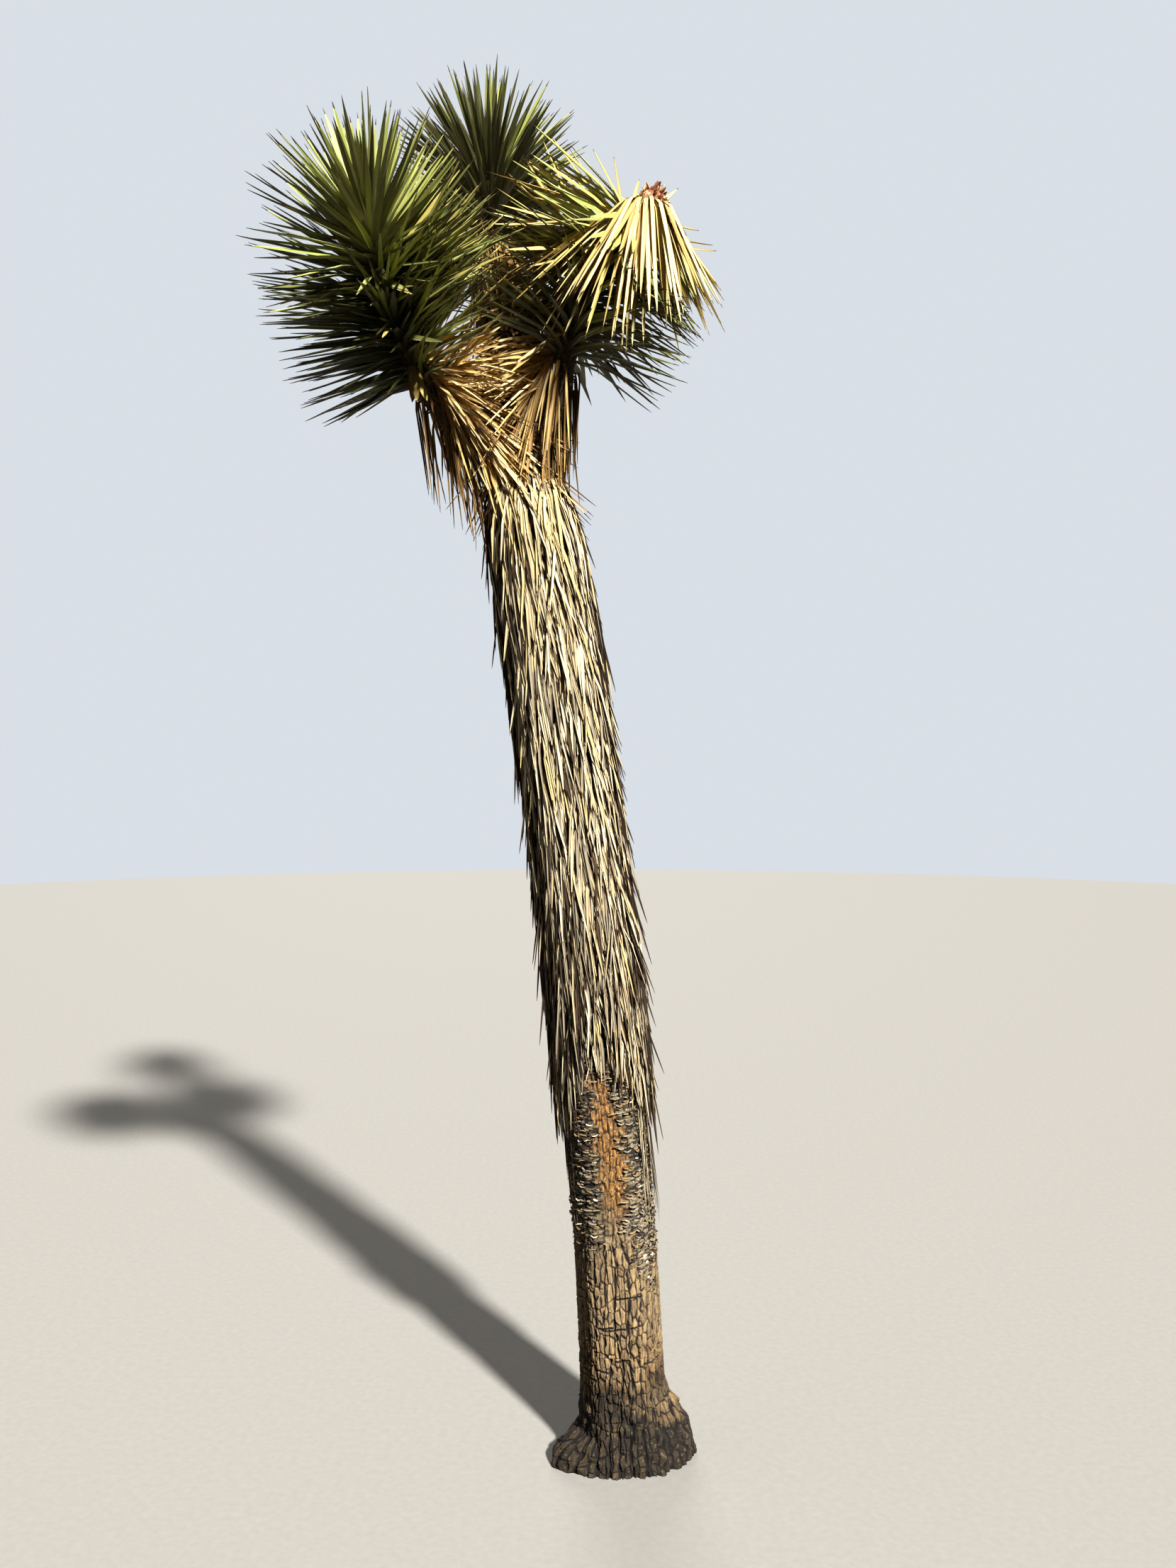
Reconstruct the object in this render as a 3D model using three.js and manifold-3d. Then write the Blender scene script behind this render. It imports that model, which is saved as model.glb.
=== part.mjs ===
// A Joshua tree, a tree yucca of the desert: a leaning, thatched trunk that forks into three short boughs,
// each ending in a head of dagger leaves. The right-hand head has lost its bud, and its uppermost leaves hang
// wilted. Millimetres, +Z up. The origin is the centre of the flat cut under the trunk, at ground level. The
// front of the tree faces -Y. Headings are degrees round +Z from +X.
import * as THREE from "three";
import { mergeVertices } from "three/addons/utils/BufferGeometryUtils.js";
import Module from "manifold-3d";

const wasm = await Module();
wasm.setup();

// The trunk: its centre line leans more with height
const FORK_HEIGHT = 2170;
const TRUNK_LEAN_X = -218;
const TRUNK_LEAN_Y = 50;
const LEAN_POWER = 1.6;
const TRUNK_RADIUS_LOW = 88;
const TRUNK_RADIUS_TOP = 77;
const TAPER_START = 500;
const TRUNK_SIDES = 18;
const TOP_ROUNDING = { height: 70, loss: 0.55 };

// Rings of the trunk, close together where the root flare and the rounded top turn quickly
const FLARE_RINGS = [0, 24, 44, 60, 78, 100, 124, 156, 230, 380, 600];
const SHAFT_RINGS = [800, 1000, 1300, 1600, 1900, 2100, 2145, FORK_HEIGHT];
const TRUNK_RINGS = [...FLARE_RINGS, ...SHAFT_RINGS];

// The root flare: an even swell, and lobes with a heading, a reach past the trunk, a height and a half width
const BUTT_SWELL = 12;
const BUTT_SWELL_HEIGHT = 130;
const FLARE_LOBES = [
  { heading: 2, reach: 54, height: 126, spread: 32 },
  { heading: 62, reach: 38, height: 96, spread: 26 },
  { heading: 124, reach: 50, height: 82, spread: 30 },
  { heading: 198, reach: 66, height: 58, spread: 28 },
  { heading: 262, reach: 5, height: 60, spread: 30 },
  { heading: 322, reach: 16, height: 84, spread: 22 },
];
const FLARE_POWER = 4;

// The main ribs of the bark: broad swellings that run up the trunk and sway a little, hollow in between
const RIBS = { count: 6, rise: 3.2, sway: 0.4, pitch: 260 };

// Each arm passes its shoulder, the base where its bough ends and live leaves begin, its knee and its bud
const ARMS = {
  right: {
    shoulder: [-176, 24, 2262],
    base: [-138, -2, 2388],
    knee: [-52, 6, 2612],
    bud: [58, -54, 2722],
  },
  left: {
    shoulder: [-318, 30, 2226],
    base: [-420, -4, 2338],
    knee: [-492, -108, 2458],
    bud: [-514, -190, 2588],
  },
  middle: {
    shoulder: [-248, 104, 2420],
    base: [-302, 236, 2744],
    knee: [-312, 272, 2836],
    bud: [-318, 302, 2936],
  },
};
const ARM_ROOT_DEPTH = 90;
const ARM_ROOT_SHIFT = 0.15;
const BOUGH = { radiusLow: 47, radiusTop: 31, sides: 12, steps: 6 };
const STEM = { radiusLow: 29, radiusTop: 15, sides: 9, steps: 4 };

// Leaves stand at the golden angle to each other. A leaf of the solids is wider than life, and stands for two
// or three of the real ones.
const GOLDEN_ANGLE = 137.508;
const LIVE_LEAF = { length: 282, lengths: [0.9, 1.05], width: 26, hollow: 5 };
const DEAD_LEAF = { length: 250, lengths: [0.75, 1.04], width: 20, sag: 8 };
const LEAF_THICKNESS = 5;
const WIDEST_AT = 0.38;

// Heads: opening angles from the stem in degrees, at the bud and at the head's base, and the sag of old tips
const HEADS = {
  left: { leaves: 106, seed: 11, young: 8, old: 92, sag: 26 },
  middle: { leaves: 84, seed: 12, young: 6, old: 88, sag: 22 },
  right: { leaves: 90, seed: 13, young: 102, old: 90, sag: 20 },
};
const AGE_TO_PLACE = 1.1;
const AGE_TO_OPENING = 0.62;
const TURN_JITTER = 16;
const OPENING_JITTER = 14;
const BUD_MARGIN = 6;
const BASE_MARGIN = 14;

// The wilted top: leaves fold over at a torn knob, crowded towards one heading
const WILTED = {
  leaves: 56, seed: 14, stem: 46, knob: 27, swell: 3, fold: 54, lengths: [1.08, 1.26], depth: 34, lift: 0.1,
  crowded: 252, crowding: 30, dipJitter: 20,
};
// How far they rise above the level or hang below it, in degrees, by heading
const WILTED_DIPS = [
  [-180, -34], [-135, -50], [-90, -70], [-45, -68], [0, -60], [45, -46], [80, -24], [120, -10], [180, -34],
];

// The trunk's thatch of dead leaves, in sections. Their wall is thicker the higher they stand, and each one
// flares towards its lower edge.
const THATCH = {
  bottom: 815, top: 2120, sections: 4, leaves: 25, seed: 50, wallLow: 8, wallHigh: 28, flare: 9,
  spread: [5, 10], twist: 0.16, turnJitter: 24, zone: [0.12, 0.96],
};

// The skirt of dead leaves on each bough, from a share of the bough's length up to its end
const SKIRT_WALL = 12;
const SKIRT_END = 0.985;
const SKIRT_DROOP = 0.45;
const SKIRT_SPREAD = [0.14, 0.55];
const SKIRTS = {
  right: { from: 0.42, leaves: 38, seed: 31 },
  left: { from: 0.4, leaves: 46, seed: 32 },
  middle: { from: 0.34, leaves: 38, seed: 33 },
};

// A leaf that would touch anything but its own mass is turned a little and tried again, and at last skipped
const TRIES = 8;
const TURN_AGAIN = 11;
const GAP = 0.3;
const LEAF_GAP = 0.5;

const BARK = new THREE.MeshStandardMaterial({ color: 0x8a6f50, roughness: 0.95, metalness: 0 });
const LIVE = new THREE.MeshStandardMaterial({ color: 0x8c9450, roughness: 0.6, metalness: 0 });
const YELLOWED = new THREE.MeshStandardMaterial({ color: 0xe0cf86, roughness: 0.65, metalness: 0 });
const STRAW = new THREE.MeshStandardMaterial({ color: 0xc9a868, roughness: 0.85, metalness: 0 });
const WEATHERED = new THREE.MeshStandardMaterial({ color: 0xb3a183, roughness: 0.9, metalness: 0 });

const UP = new THREE.Vector3(0, 0, 1);
const DOWN = new THREE.Vector3(0, 0, -1);
const BACKWARD = new THREE.Vector3(0, 1, 0);
const radians = THREE.MathUtils.degToRad;
const lerp = THREE.MathUtils.lerp;
const between = ([low, high], share) => lerp(low, high, share);
const point = ([x, y, z]) => new THREE.Vector3(x, y, z);
const towards = (angle) => new THREE.Vector3(Math.cos(angle), Math.sin(angle), 0);

// A repeatable run of numbers between 0 and 1, mixed from a counter
function seeded(seed) {
  let state = seed * 7919;
  return () => {
    state = (state + 0x6d2b79f5) | 0;
    let t = Math.imul(state ^ (state >>> 15), 1 | state);
    t = (t + Math.imul(t ^ (t >>> 7), 61 | t)) ^ t;
    return ((t ^ (t >>> 14)) >>> 0) / 2 ** 32;
  };
}

function solidOf(geometry) {
  geometry.deleteAttribute("normal");
  geometry.deleteAttribute("uv");
  const merged = mergeVertices(geometry, 1e-3);
  const vertProperties = merged.attributes.position.array;
  const triVerts = new Uint32Array(merged.index.array);
  return new wasm.Manifold(new wasm.Mesh({ numProp: 3, vertProperties, triVerts }));
}

function meshOf(name, solid, material) {
  const { numProp, numVert, vertProperties, triVerts } = solid.getMesh();
  const positions = new Float32Array(numVert * 3);
  for (let i = 0; i < numVert; i++) {
    positions.set(vertProperties.subarray(i * numProp, i * numProp + 3), i * 3);
  }
  const geometry = new THREE.BufferGeometry();
  geometry.setAttribute("position", new THREE.BufferAttribute(positions, 3));
  geometry.setIndex(new THREE.BufferAttribute(new Uint32Array(triVerts), 1));
  geometry.computeVertexNormals();
  const mesh = new THREE.Mesh(geometry, material);
  mesh.name = name;
  return mesh;
}

// The largest body of a solid: loose scraps that a cut leaves are dropped
function largestOf(solid) {
  return solid.decompose().reduce((best, body) => (body.volume() > best.volume() ? body : best));
}

// A closed limb: a cylinder of unit size whose points move to place(angle, share of length, radius of 0 or 1)
function limb(sides, steps, place) {
  const geometry = new THREE.CylinderGeometry(1, 1, 1, sides, steps);
  const position = geometry.getAttribute("position");
  for (let i = 0; i < position.count; i++) {
    const x = position.getX(i);
    const z = position.getZ(i);
    const moved = place(Math.atan2(-z, x), position.getY(i) + 0.5, Math.round(Math.hypot(x, z)));
    position.setXYZ(i, moved.x, moved.y, moved.z);
  }
  return solidOf(geometry);
}

// The trunk
function trunkCentre(z) {
  const share = Math.pow(Math.max(z, 0) / FORK_HEIGHT, LEAN_POWER);
  return new THREE.Vector3(TRUNK_LEAN_X * share, TRUNK_LEAN_Y * share, z);
}

function trunkRadius(z, angle) {
  const taper = THREE.MathUtils.smoothstep(z, TAPER_START, FORK_HEIGHT);
  let radius = lerp(TRUNK_RADIUS_LOW, TRUNK_RADIUS_TOP, taper);
  radius += BUTT_SWELL * Math.exp(-z / BUTT_SWELL_HEIGHT);
  radius += RIBS.rise * Math.cos(RIBS.count * angle + RIBS.sway * Math.sin(z / RIBS.pitch));
  for (const lobe of FLARE_LOBES) {
    const away = THREE.MathUtils.radToDeg(angle) - lobe.heading;
    const turn = THREE.MathUtils.euclideanModulo(away + 180, 360) - 180;
    const fade = Math.exp(-((z / lobe.height) ** FLARE_POWER));
    radius += lobe.reach * fade * Math.exp(-((turn / lobe.spread) ** 2));
  }
  const rounding = Math.max(0, 1 + (z - FORK_HEIGHT) / TOP_ROUNDING.height);
  return radius * Math.sqrt(1 - TOP_ROUNDING.loss * rounding * rounding);
}

function onTrunk(z, angle, extra) {
  return trunkCentre(z).addScaledVector(towards(angle), trunkRadius(z, angle) + extra);
}

function trunkSolid(extra) {
  const steps = TRUNK_RINGS.length - 1;
  return limb(TRUNK_SIDES, steps, (angle, share, radius) => {
    const z = TRUNK_RINGS[Math.round(share * steps)];
    const p = radius ? onTrunk(z, angle, extra) : trunkCentre(z);
    return z === FORK_HEIGHT ? p.addScaledVector(UP, extra) : p;
  });
}

// Arms: one curve carries the bough, and then the stem of the head
function armCurve({ shoulder, base, knee, bud }) {
  const root = trunkCentre(FORK_HEIGHT - ARM_ROOT_DEPTH);
  root.lerp(point(shoulder).setZ(root.z), ARM_ROOT_SHIFT);
  return new THREE.CatmullRomCurve3([root, ...[shoulder, base, knee, bud].map(point)], false, "centripetal");
}

// The share of the curve's length at which it reaches a height, by halving
function shareAtHeight(curve, height) {
  let low = 0;
  let high = 1;
  while (high - low > 1e-6) {
    const middle = (low + high) / 2;
    if (curve.getPointAt(middle).z < height) low = middle;
    else high = middle;
  }
  return low;
}

function onArm(curve, share, angle, radius) {
  const axis = curve.getTangentAt(share);
  const right = BACKWARD.clone().cross(axis).normalize();
  const back = axis.clone().cross(right).normalize();
  const outward = right.multiplyScalar(Math.cos(angle)).addScaledVector(back, Math.sin(angle));
  return curve.getPointAt(share).addScaledVector(outward, radius);
}

function outwardAt(curve, share, angle) {
  return onArm(curve, share, angle, 1).sub(curve.getPointAt(share));
}

function limbOnArm(curve, [from, to], [radiusFrom, radiusTo], { sides, steps }) {
  return limb(sides, steps, (angle, share, radius) =>
    onArm(curve, lerp(from, to, share), angle, radius * lerp(radiusFrom, radiusTo, share)),
  );
}

// A leaf of eight faces: a point sunk in its stem, a widest ring, and the tip
function leafSolid({ root, widest, tip, side, width }) {
  const along = tip.clone().sub(root).normalize();
  const normal = along.cross(side).normalize();
  const geometry = new THREE.OctahedronGeometry(1);
  const position = geometry.getAttribute("position");
  for (let i = 0; i < position.count; i++) {
    const end = Math.round(position.getZ(i));
    const ring = widest.clone();
    ring.addScaledVector(side, (position.getX(i) * width) / 2);
    ring.addScaledVector(normal, (position.getY(i) * LEAF_THICKNESS) / 2);
    const p = { "-1": root, 0: ring, 1: tip }[end];
    position.setXYZ(i, p.x, p.y, p.z);
  }
  return solidOf(geometry);
}

// A straight leaf with its flat side towards the stem, hollowed a little and sagging at its tip
function bladeFrom(root, direction, axis, { length, width, hollow = 0, sag = 0 }) {
  const side = direction.clone().cross(axis).normalize();
  const inner = side.clone().cross(direction).normalize();
  const widest = root.clone().addScaledVector(direction, length * WIDEST_AT).addScaledVector(inner, -hollow);
  const tip = root.clone().addScaledVector(direction, length).addScaledVector(DOWN, sag);
  return leafSolid({ root, widest, tip, side, width });
}

// Everything that a new leaf has to keep clear of, by name
const obstacles = new Map();
const occupy = (name, solid) => obstacles.set(name, { solid, box: solid.boundingBox() });

function keepsClear(leaf, own) {
  const box = leaf.boundingBox();
  for (const [name, { solid, box: other }] of obstacles) {
    const apart = [0, 1, 2].some((k) => box.min[k] > other.max[k] + 1 || other.min[k] > box.max[k] + 1);
    if (name !== own && !apart && leaf.minGap(solid, 1) < LEAF_GAP) return false;
  }
  return true;
}

// Limbs and cores take their space first, each cut clear of what is there already
let taken = trunkSolid(GAP);

function cutClear(name, make) {
  const solid = largestOf(make(0).subtract(taken));
  taken = taken.add(make(GAP));
  occupy(name, solid);
  return solid;
}

const tree = new THREE.Group();
const trunk = trunkSolid(0);
occupy("trunk", trunk);
tree.add(meshOf("trunk", trunk, BARK));

const curves = {};
const bases = {};
for (const [side, arm] of Object.entries(ARMS)) {
  const curve = armCurve(arm);
  curves[side] = curve;
  bases[side] = shareAtHeight(curve, arm.base[2]);
  const end = bases[side] - GAP / curve.getLength();
  const bough = cutClear(`bough_${side}`, (extra) => {
    const to = extra ? bases[side] : end;
    return limbOnArm(curve, [0, to], [BOUGH.radiusLow + extra, BOUGH.radiusTop + extra], BOUGH);
  });
  tree.add(meshOf(`bough_${side}`, bough, BARK));
}

// Thatch round the trunk: each section is a sleeve with dead leaves hanging from it
function thatch(index) {
  const height = (THATCH.top - THATCH.bottom) / THATCH.sections;
  const bottom = THATCH.bottom + index * height;
  const wallMiddle = lerp(THATCH.wallLow, THATCH.wallHigh, index / (THATCH.sections - 1));
  const wall = (share) => wallMiddle + THATCH.flare * (0.5 - share);
  const random = seeded(THATCH.seed + index);
  return {
    name: `thatch_${index + 1}`,
    material: WEATHERED,
    leaves: THATCH.leaves,
    core: (extra) =>
      limb(TRUNK_SIDES, 2, (angle, share, radius) => {
        const z = bottom + share * (height - GAP) + (share > 0.5 ? extra : -extra);
        return radius ? onTrunk(z, angle, wall(share) + extra) : trunkCentre(z);
      }),
    leaf: (i, attempt) => {
      const angle = radians(i * GOLDEN_ANGLE + random() * THATCH.turnJitter);
      const share = between(THATCH.zone, (i + random()) / THATCH.leaves);
      const z = bottom + share * height;
      const outward = towards(angle);
      const spread = radians(between(THATCH.spread, random()) + attempt * 4);
      const direction = trunkCentre(bottom).sub(trunkCentre(bottom + height)).normalize();
      direction.multiplyScalar(Math.cos(spread)).addScaledVector(outward, Math.sin(spread));
      direction.addScaledVector(UP.clone().cross(outward), (random() - 0.5) * THATCH.twist).normalize();
      const length = DEAD_LEAF.length * between(DEAD_LEAF.lengths, random());
      const root = onTrunk(z, angle, wall(share) / 2);
      return bladeFrom(root, direction, outward, { length, width: DEAD_LEAF.width });
    },
  };
}

// The skirt on a bough: a sleeve of leaf bases, with dead leaves that point back along the bough and down
function skirt(side) {
  const { from, leaves, seed } = SKIRTS[side];
  const curve = curves[side];
  const radiusAt = (part) => lerp(BOUGH.radiusLow, BOUGH.radiusTop, part);
  const random = seeded(seed);
  return {
    name: `skirt_${side}`,
    material: STRAW,
    leaves,
    core: (extra) => {
      const reach = [from * bases[side], SKIRT_END * bases[side]];
      const radii = [radiusAt(from) + SKIRT_WALL + extra, radiusAt(1) + SKIRT_WALL * 0.7 + extra];
      return limbOnArm(curve, reach, radii, { sides: BOUGH.sides, steps: 3 });
    },
    leaf: (i, attempt) => {
      const part = lerp(SKIRT_END, from, ((i + random()) / leaves) ** 1.3);
      const share = part * bases[side];
      const angle = radians(i * GOLDEN_ANGLE + random() * TURN_JITTER + attempt * TURN_AGAIN);
      const outward = outwardAt(curve, share, angle);
      const direction = curve.getTangentAt(share).negate().addScaledVector(DOWN, SKIRT_DROOP).normalize();
      direction.addScaledVector(outward, between(SKIRT_SPREAD, random()) + attempt * 0.06).normalize();
      const length = DEAD_LEAF.length * between(DEAD_LEAF.lengths, random());
      const root = onArm(curve, share, angle, radiusAt(part) + SKIRT_WALL * 0.4);
      return bladeFrom(root, direction, outward, { length, width: DEAD_LEAF.width, sag: DEAD_LEAF.sag });
    },
  };
}

// A head: its leaves stand together at the bud and open wider with age
function head(side) {
  const { leaves, seed, young, old, sag } = HEADS[side];
  const curve = curves[side];
  const length = curve.getLength();
  const from = bases[side];
  const to = side === "right" ? 1 - (WILTED.stem + GAP) / length : 1;
  const random = seeded(seed);
  return {
    name: `head_${side}`,
    material: LIVE,
    leaves,
    core: (extra) => limbOnArm(curve, [from, to], [STEM.radiusLow + extra, STEM.radiusTop + extra], STEM),
    leaf: (i, attempt) => {
      const age = (i + 0.5) / leaves;
      const share = lerp(to - BUD_MARGIN / length, from + BASE_MARGIN / length, age ** AGE_TO_PLACE);
      const axis = curve.getTangentAt(share);
      const angle = radians(i * GOLDEN_ANGLE + (random() - 0.5) * TURN_JITTER + attempt * TURN_AGAIN);
      const open = radians(lerp(young, old, age ** AGE_TO_OPENING) + (random() - 0.5) * OPENING_JITTER);
      const outward = outwardAt(curve, share, angle);
      const direction = axis.clone().multiplyScalar(Math.cos(open)).addScaledVector(outward, Math.sin(open));
      const shape = { ...LIVE_LEAF, length: LIVE_LEAF.length * between(LIVE_LEAF.lengths, random()) };
      return bladeFrom(curve.getPointAt(share), direction, axis, { ...shape, sag: 2 * sag * age * random() });
    },
  };
}

function dipAt(heading) {
  const turn = THREE.MathUtils.euclideanModulo(heading + 180, 360) - 180;
  const next = WILTED_DIPS.findIndex(([at]) => at > turn);
  const [[from, dipFrom], [to, dipTo]] = WILTED_DIPS.slice(next - 1, next + 1);
  return lerp(dipFrom, dipTo, (turn - from) / (to - from));
}

// The torn knob at the end of the right-hand stem, and the wilted leaves that fold over round it
function wiltedTop() {
  const curve = curves.right;
  const centre = curve.getPointAt(1);
  const axis = curve.getTangentAt(1);
  const random = seeded(WILTED.seed);
  return {
    name: "head_right_wilted",
    material: YELLOWED,
    leaves: WILTED.leaves,
    core: (extra) => {
      const reach = [1 - WILTED.stem / curve.getLength(), 1];
      const radii = [STEM.radiusTop + extra, STEM.radiusTop + WILTED.swell + extra];
      const stem = limbOnArm(curve, reach, radii, { sides: STEM.sides, steps: 1 });
      const knob = new THREE.IcosahedronGeometry(WILTED.knob + extra, 0);
      return stem.add(solidOf(knob.translate(centre.x, centre.y, centre.z)));
    },
    leaf: (i, attempt) => {
      const even = i * GOLDEN_ANGLE + random() * TURN_JITTER + attempt * TURN_AGAIN;
      const heading = WILTED.crowded + even - WILTED.crowding * Math.sin(radians(even));
      const dip = radians(dipAt(heading) + (random() - 0.5) * WILTED.dipJitter);
      const outward = towards(radians(heading));
      const hang = outward.clone().multiplyScalar(Math.cos(dip)).addScaledVector(UP, Math.sin(dip));
      const fold = outward.clone().addScaledVector(axis, WILTED.lift).addScaledVector(hang, WILTED.lift);
      const root = centre.clone().addScaledVector(axis, -WILTED.depth * random());
      const widest = root.clone().addScaledVector(fold.normalize(), WILTED.fold);
      const length = LIVE_LEAF.length * between(WILTED.lengths, random()) - WILTED.fold;
      const tip = widest.clone().addScaledVector(hang, length);
      return leafSolid({ root, widest, tip, side: UP.clone().cross(outward), width: LIVE_LEAF.width });
    },
  };
}

const masses = [
  wiltedTop(),
  ...Object.keys(HEADS).map(head),
  ...Object.keys(SKIRTS).map(skirt),
  ...Array.from({ length: THATCH.sections }, (_, index) => thatch(index)),
];
const cores = masses.map(({ name, core }) => cutClear(name, core));

masses.forEach(({ name, material, leaves, leaf }, k) => {
  const parts = [cores[k]];
  for (let i = 0; i < leaves; i++) {
    for (let attempt = 0; attempt < TRIES; attempt++) {
      const made = leaf(i, attempt);
      if (made.minGap(cores[k], 1) > 0 || !keepsClear(made, name)) continue;
      parts.push(made);
      break;
    }
  }
  const solid = largestOf(wasm.Manifold.union(parts));
  occupy(name, solid);
  tree.add(meshOf(name, solid, material));
});

export default tree;
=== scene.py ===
# %% [markdown]
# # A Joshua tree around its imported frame
# The tree is a tree yucca: a leaning trunk with furrowed bark low down and a coat of dead leaves above,
# three short boughs, and a head of stiff dagger leaves on each one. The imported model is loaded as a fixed
# frame. It says where every limb and every mass of leaves is. This script leaves it where it is and dresses
# it: each solid is replaced by bark or by leaves that grow from the same lines.

# %% Load the frame
import math
from dataclasses import dataclass, replace

import bpy
import numpy as np
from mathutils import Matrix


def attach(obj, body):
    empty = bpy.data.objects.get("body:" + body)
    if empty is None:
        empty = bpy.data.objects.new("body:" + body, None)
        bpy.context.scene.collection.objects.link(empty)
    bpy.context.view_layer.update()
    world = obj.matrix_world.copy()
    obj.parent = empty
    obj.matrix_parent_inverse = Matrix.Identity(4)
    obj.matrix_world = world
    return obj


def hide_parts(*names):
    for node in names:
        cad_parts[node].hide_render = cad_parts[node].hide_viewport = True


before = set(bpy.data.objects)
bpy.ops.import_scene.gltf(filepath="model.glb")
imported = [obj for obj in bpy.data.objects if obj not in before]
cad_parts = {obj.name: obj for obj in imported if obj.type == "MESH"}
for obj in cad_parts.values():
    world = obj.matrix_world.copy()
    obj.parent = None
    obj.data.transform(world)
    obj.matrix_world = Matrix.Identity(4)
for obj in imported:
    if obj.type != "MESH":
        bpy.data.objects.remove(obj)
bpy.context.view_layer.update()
print("nodes of the frame:", ", ".join(sorted(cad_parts)))

# %% [markdown]
# ## Camera
# The photo was taken from eye level, close to the tree and nearly level. A wide lens that stands near makes
# the heads loom, and a long lens would flatten them, so the real distance matters as much as the direction.

# %% Place the camera
EYE_LEVEL = 1.55
CAMERA_X = -0.079
CAMERA_Y = -2.773
LOOKS_DOWN = math.radians(1.41)
LENS_MM = 29.14
SENSOR_MM = 36

camera_data = bpy.data.cameras.new("camera")
camera_data.lens = LENS_MM
camera_data.sensor_width = SENSOR_MM
camera = bpy.data.objects.new("camera", camera_data)
camera.location = (CAMERA_X, CAMERA_Y, EYE_LEVEL)
camera.rotation_euler = (math.pi / 2 - LOOKS_DOWN, 0, 0)
bpy.context.collection.objects.link(camera)
bpy.context.scene.camera = camera
print("camera stands at", tuple(camera.location))

# %% [markdown]
# ## Studio light
# In the photo the sun stands behind the camera, to its right. A far lamp in the same direction gives the
# leaves the same lit and shaded sides, with a softer edge. Far lamps light the foot and the crown alike,
# and a panel close to so tall a tree would not. Three weak and very soft ones keep the other sides
# readable. The pale surrounding is a backdrop only and adds no light, or the gaps between the leaves would
# turn grey.

# %% Set the lights
# name, turn and rise in degrees, strength, and how wide the source looks in degrees
FAR_LIGHTS = (
    ("key_light", 30, 38, 8.8, 4),
    ("fill_light", -80, 15, 0.50, 70),
    ("rim_light", 185, 30, 1.5, 30),
    ("top_light", 0, 88, 0.25, 90),
)
SURROUNDING_COLOUR = (0.72, 0.76, 0.81, 1)
VIEW_GAMMA = 0.9


def far_light(name, turn, rise, strength, width):
    """A far studio light. Turn is from straight behind the camera to its right, and rise is above level."""
    data = bpy.data.lights.new(name, "SUN")
    data.energy = strength
    data.angle = math.radians(width)
    light = bpy.data.objects.new(name, data)
    light.rotation_euler = (math.radians(90 - rise), 0, math.radians(turn))
    bpy.context.collection.objects.link(light)


for light_numbers in FAR_LIGHTS:
    far_light(*light_numbers)

world = bpy.data.worlds.new("pale_surrounding")
world.use_nodes = True
world.node_tree.nodes["Background"].inputs["Color"].default_value = SURROUNDING_COLOUR
world.cycles_visibility.diffuse = False
world.cycles_visibility.glossy = False
bpy.context.scene.world = world
bpy.context.scene.view_settings.view_transform = "Standard"
bpy.context.scene.view_settings.gamma = VIEW_GAMMA
print("lights set:", ", ".join(light_numbers[0] for light_numbers in FAR_LIGHTS))

# %% [markdown]
# ## Shader sums as Python
# A finish is a small graph of nodes. Written node by node it is long and hard to read, so one class wraps
# an output socket and turns + - * into Math nodes. A second class holds the material and makes every other
# node with one method.

# %% Helpers that write shader nodes
class Value:
    """One number socket of a shader graph, on which sums are written as in plain Python."""

    def __init__(self, finish, socket):
        self.finish = finish
        self.socket = socket

    def _sum(self, operation, first, second, clamp=False):
        settings = {"operation": operation, "use_clamp": clamp}
        return self.finish.value("ShaderNodeMath", settings, {0: first, 1: second})

    def __add__(self, other):
        return self._sum("ADD", self, other)

    def __sub__(self, other):
        return self._sum("SUBTRACT", self, other)

    def __rsub__(self, other):
        return self._sum("SUBTRACT", other, self)

    def __mul__(self, other):
        return self._sum("MULTIPLY", self, other)

    __radd__ = __add__
    __rmul__ = __mul__

    def clamped(self):
        return self._sum("ADD", self, 0.0, clamp=True)

    def past(self, level, slope):
        """A soft threshold: 0 up to the level, and from there it rises with the slope to 1."""
        return ((self - level) * slope).clamped()


class Finish:
    """A material and the one method that adds any node to it."""

    def __init__(self, name, roughness):
        self.material = bpy.data.materials.new(name)
        self.material.use_nodes = True
        self.tree = self.material.node_tree
        self.shader = self.tree.nodes["Principled BSDF"]
        self.shader.inputs["Roughness"].default_value = roughness

    def node(self, kind, settings, sockets):
        node = self.tree.nodes.new(kind)
        for key, setting in settings.items():
            setattr(node, key, setting)
        for key, given in sockets.items():
            self.fill(node.inputs[key], given)
        return node

    def fill(self, socket, given):
        source = given.socket if isinstance(given, Value) else given
        if isinstance(source, bpy.types.NodeSocket):
            self.tree.links.new(source, socket)
        else:
            socket.default_value = source

    def value(self, kind, settings, sockets, output=0):
        return Value(self, self.node(kind, settings, sockets).outputs[output])

    def mix(self, factor, low, high):
        sockets = {"Factor": factor, 6: low, 7: high}
        return self.value("ShaderNodeMix", {"data_type": "RGBA"}, sockets, 2)

    def own_place(self):
        return self.node("ShaderNodeTexCoord", {}, {}).outputs["Object"]

    def noise(self, place, scale, detail=3.0):
        sockets = {"Vector": place, "Scale": scale, "Detail": detail}
        return self.value("ShaderNodeTexNoise", {}, sockets)

    def stretched(self, place, scale):
        settings = {"operation": "MULTIPLY"}
        return self.node("ShaderNodeVectorMath", settings, {0: place, 1: scale}).outputs[0]

    def attribute(self, name):
        return self.value("ShaderNodeAttribute", {"attribute_name": name}, {}, 2)

    def set_colour(self, colour):
        self.fill(self.shader.inputs["Base Color"], colour)

    def set_bump(self, height, strength, distance):
        sockets = {"Height": height, "Strength": strength, "Distance": distance}
        bump = self.node("ShaderNodeBump", {}, sockets)
        self.fill(self.shader.inputs["Normal"], bump.outputs["Normal"])


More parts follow.
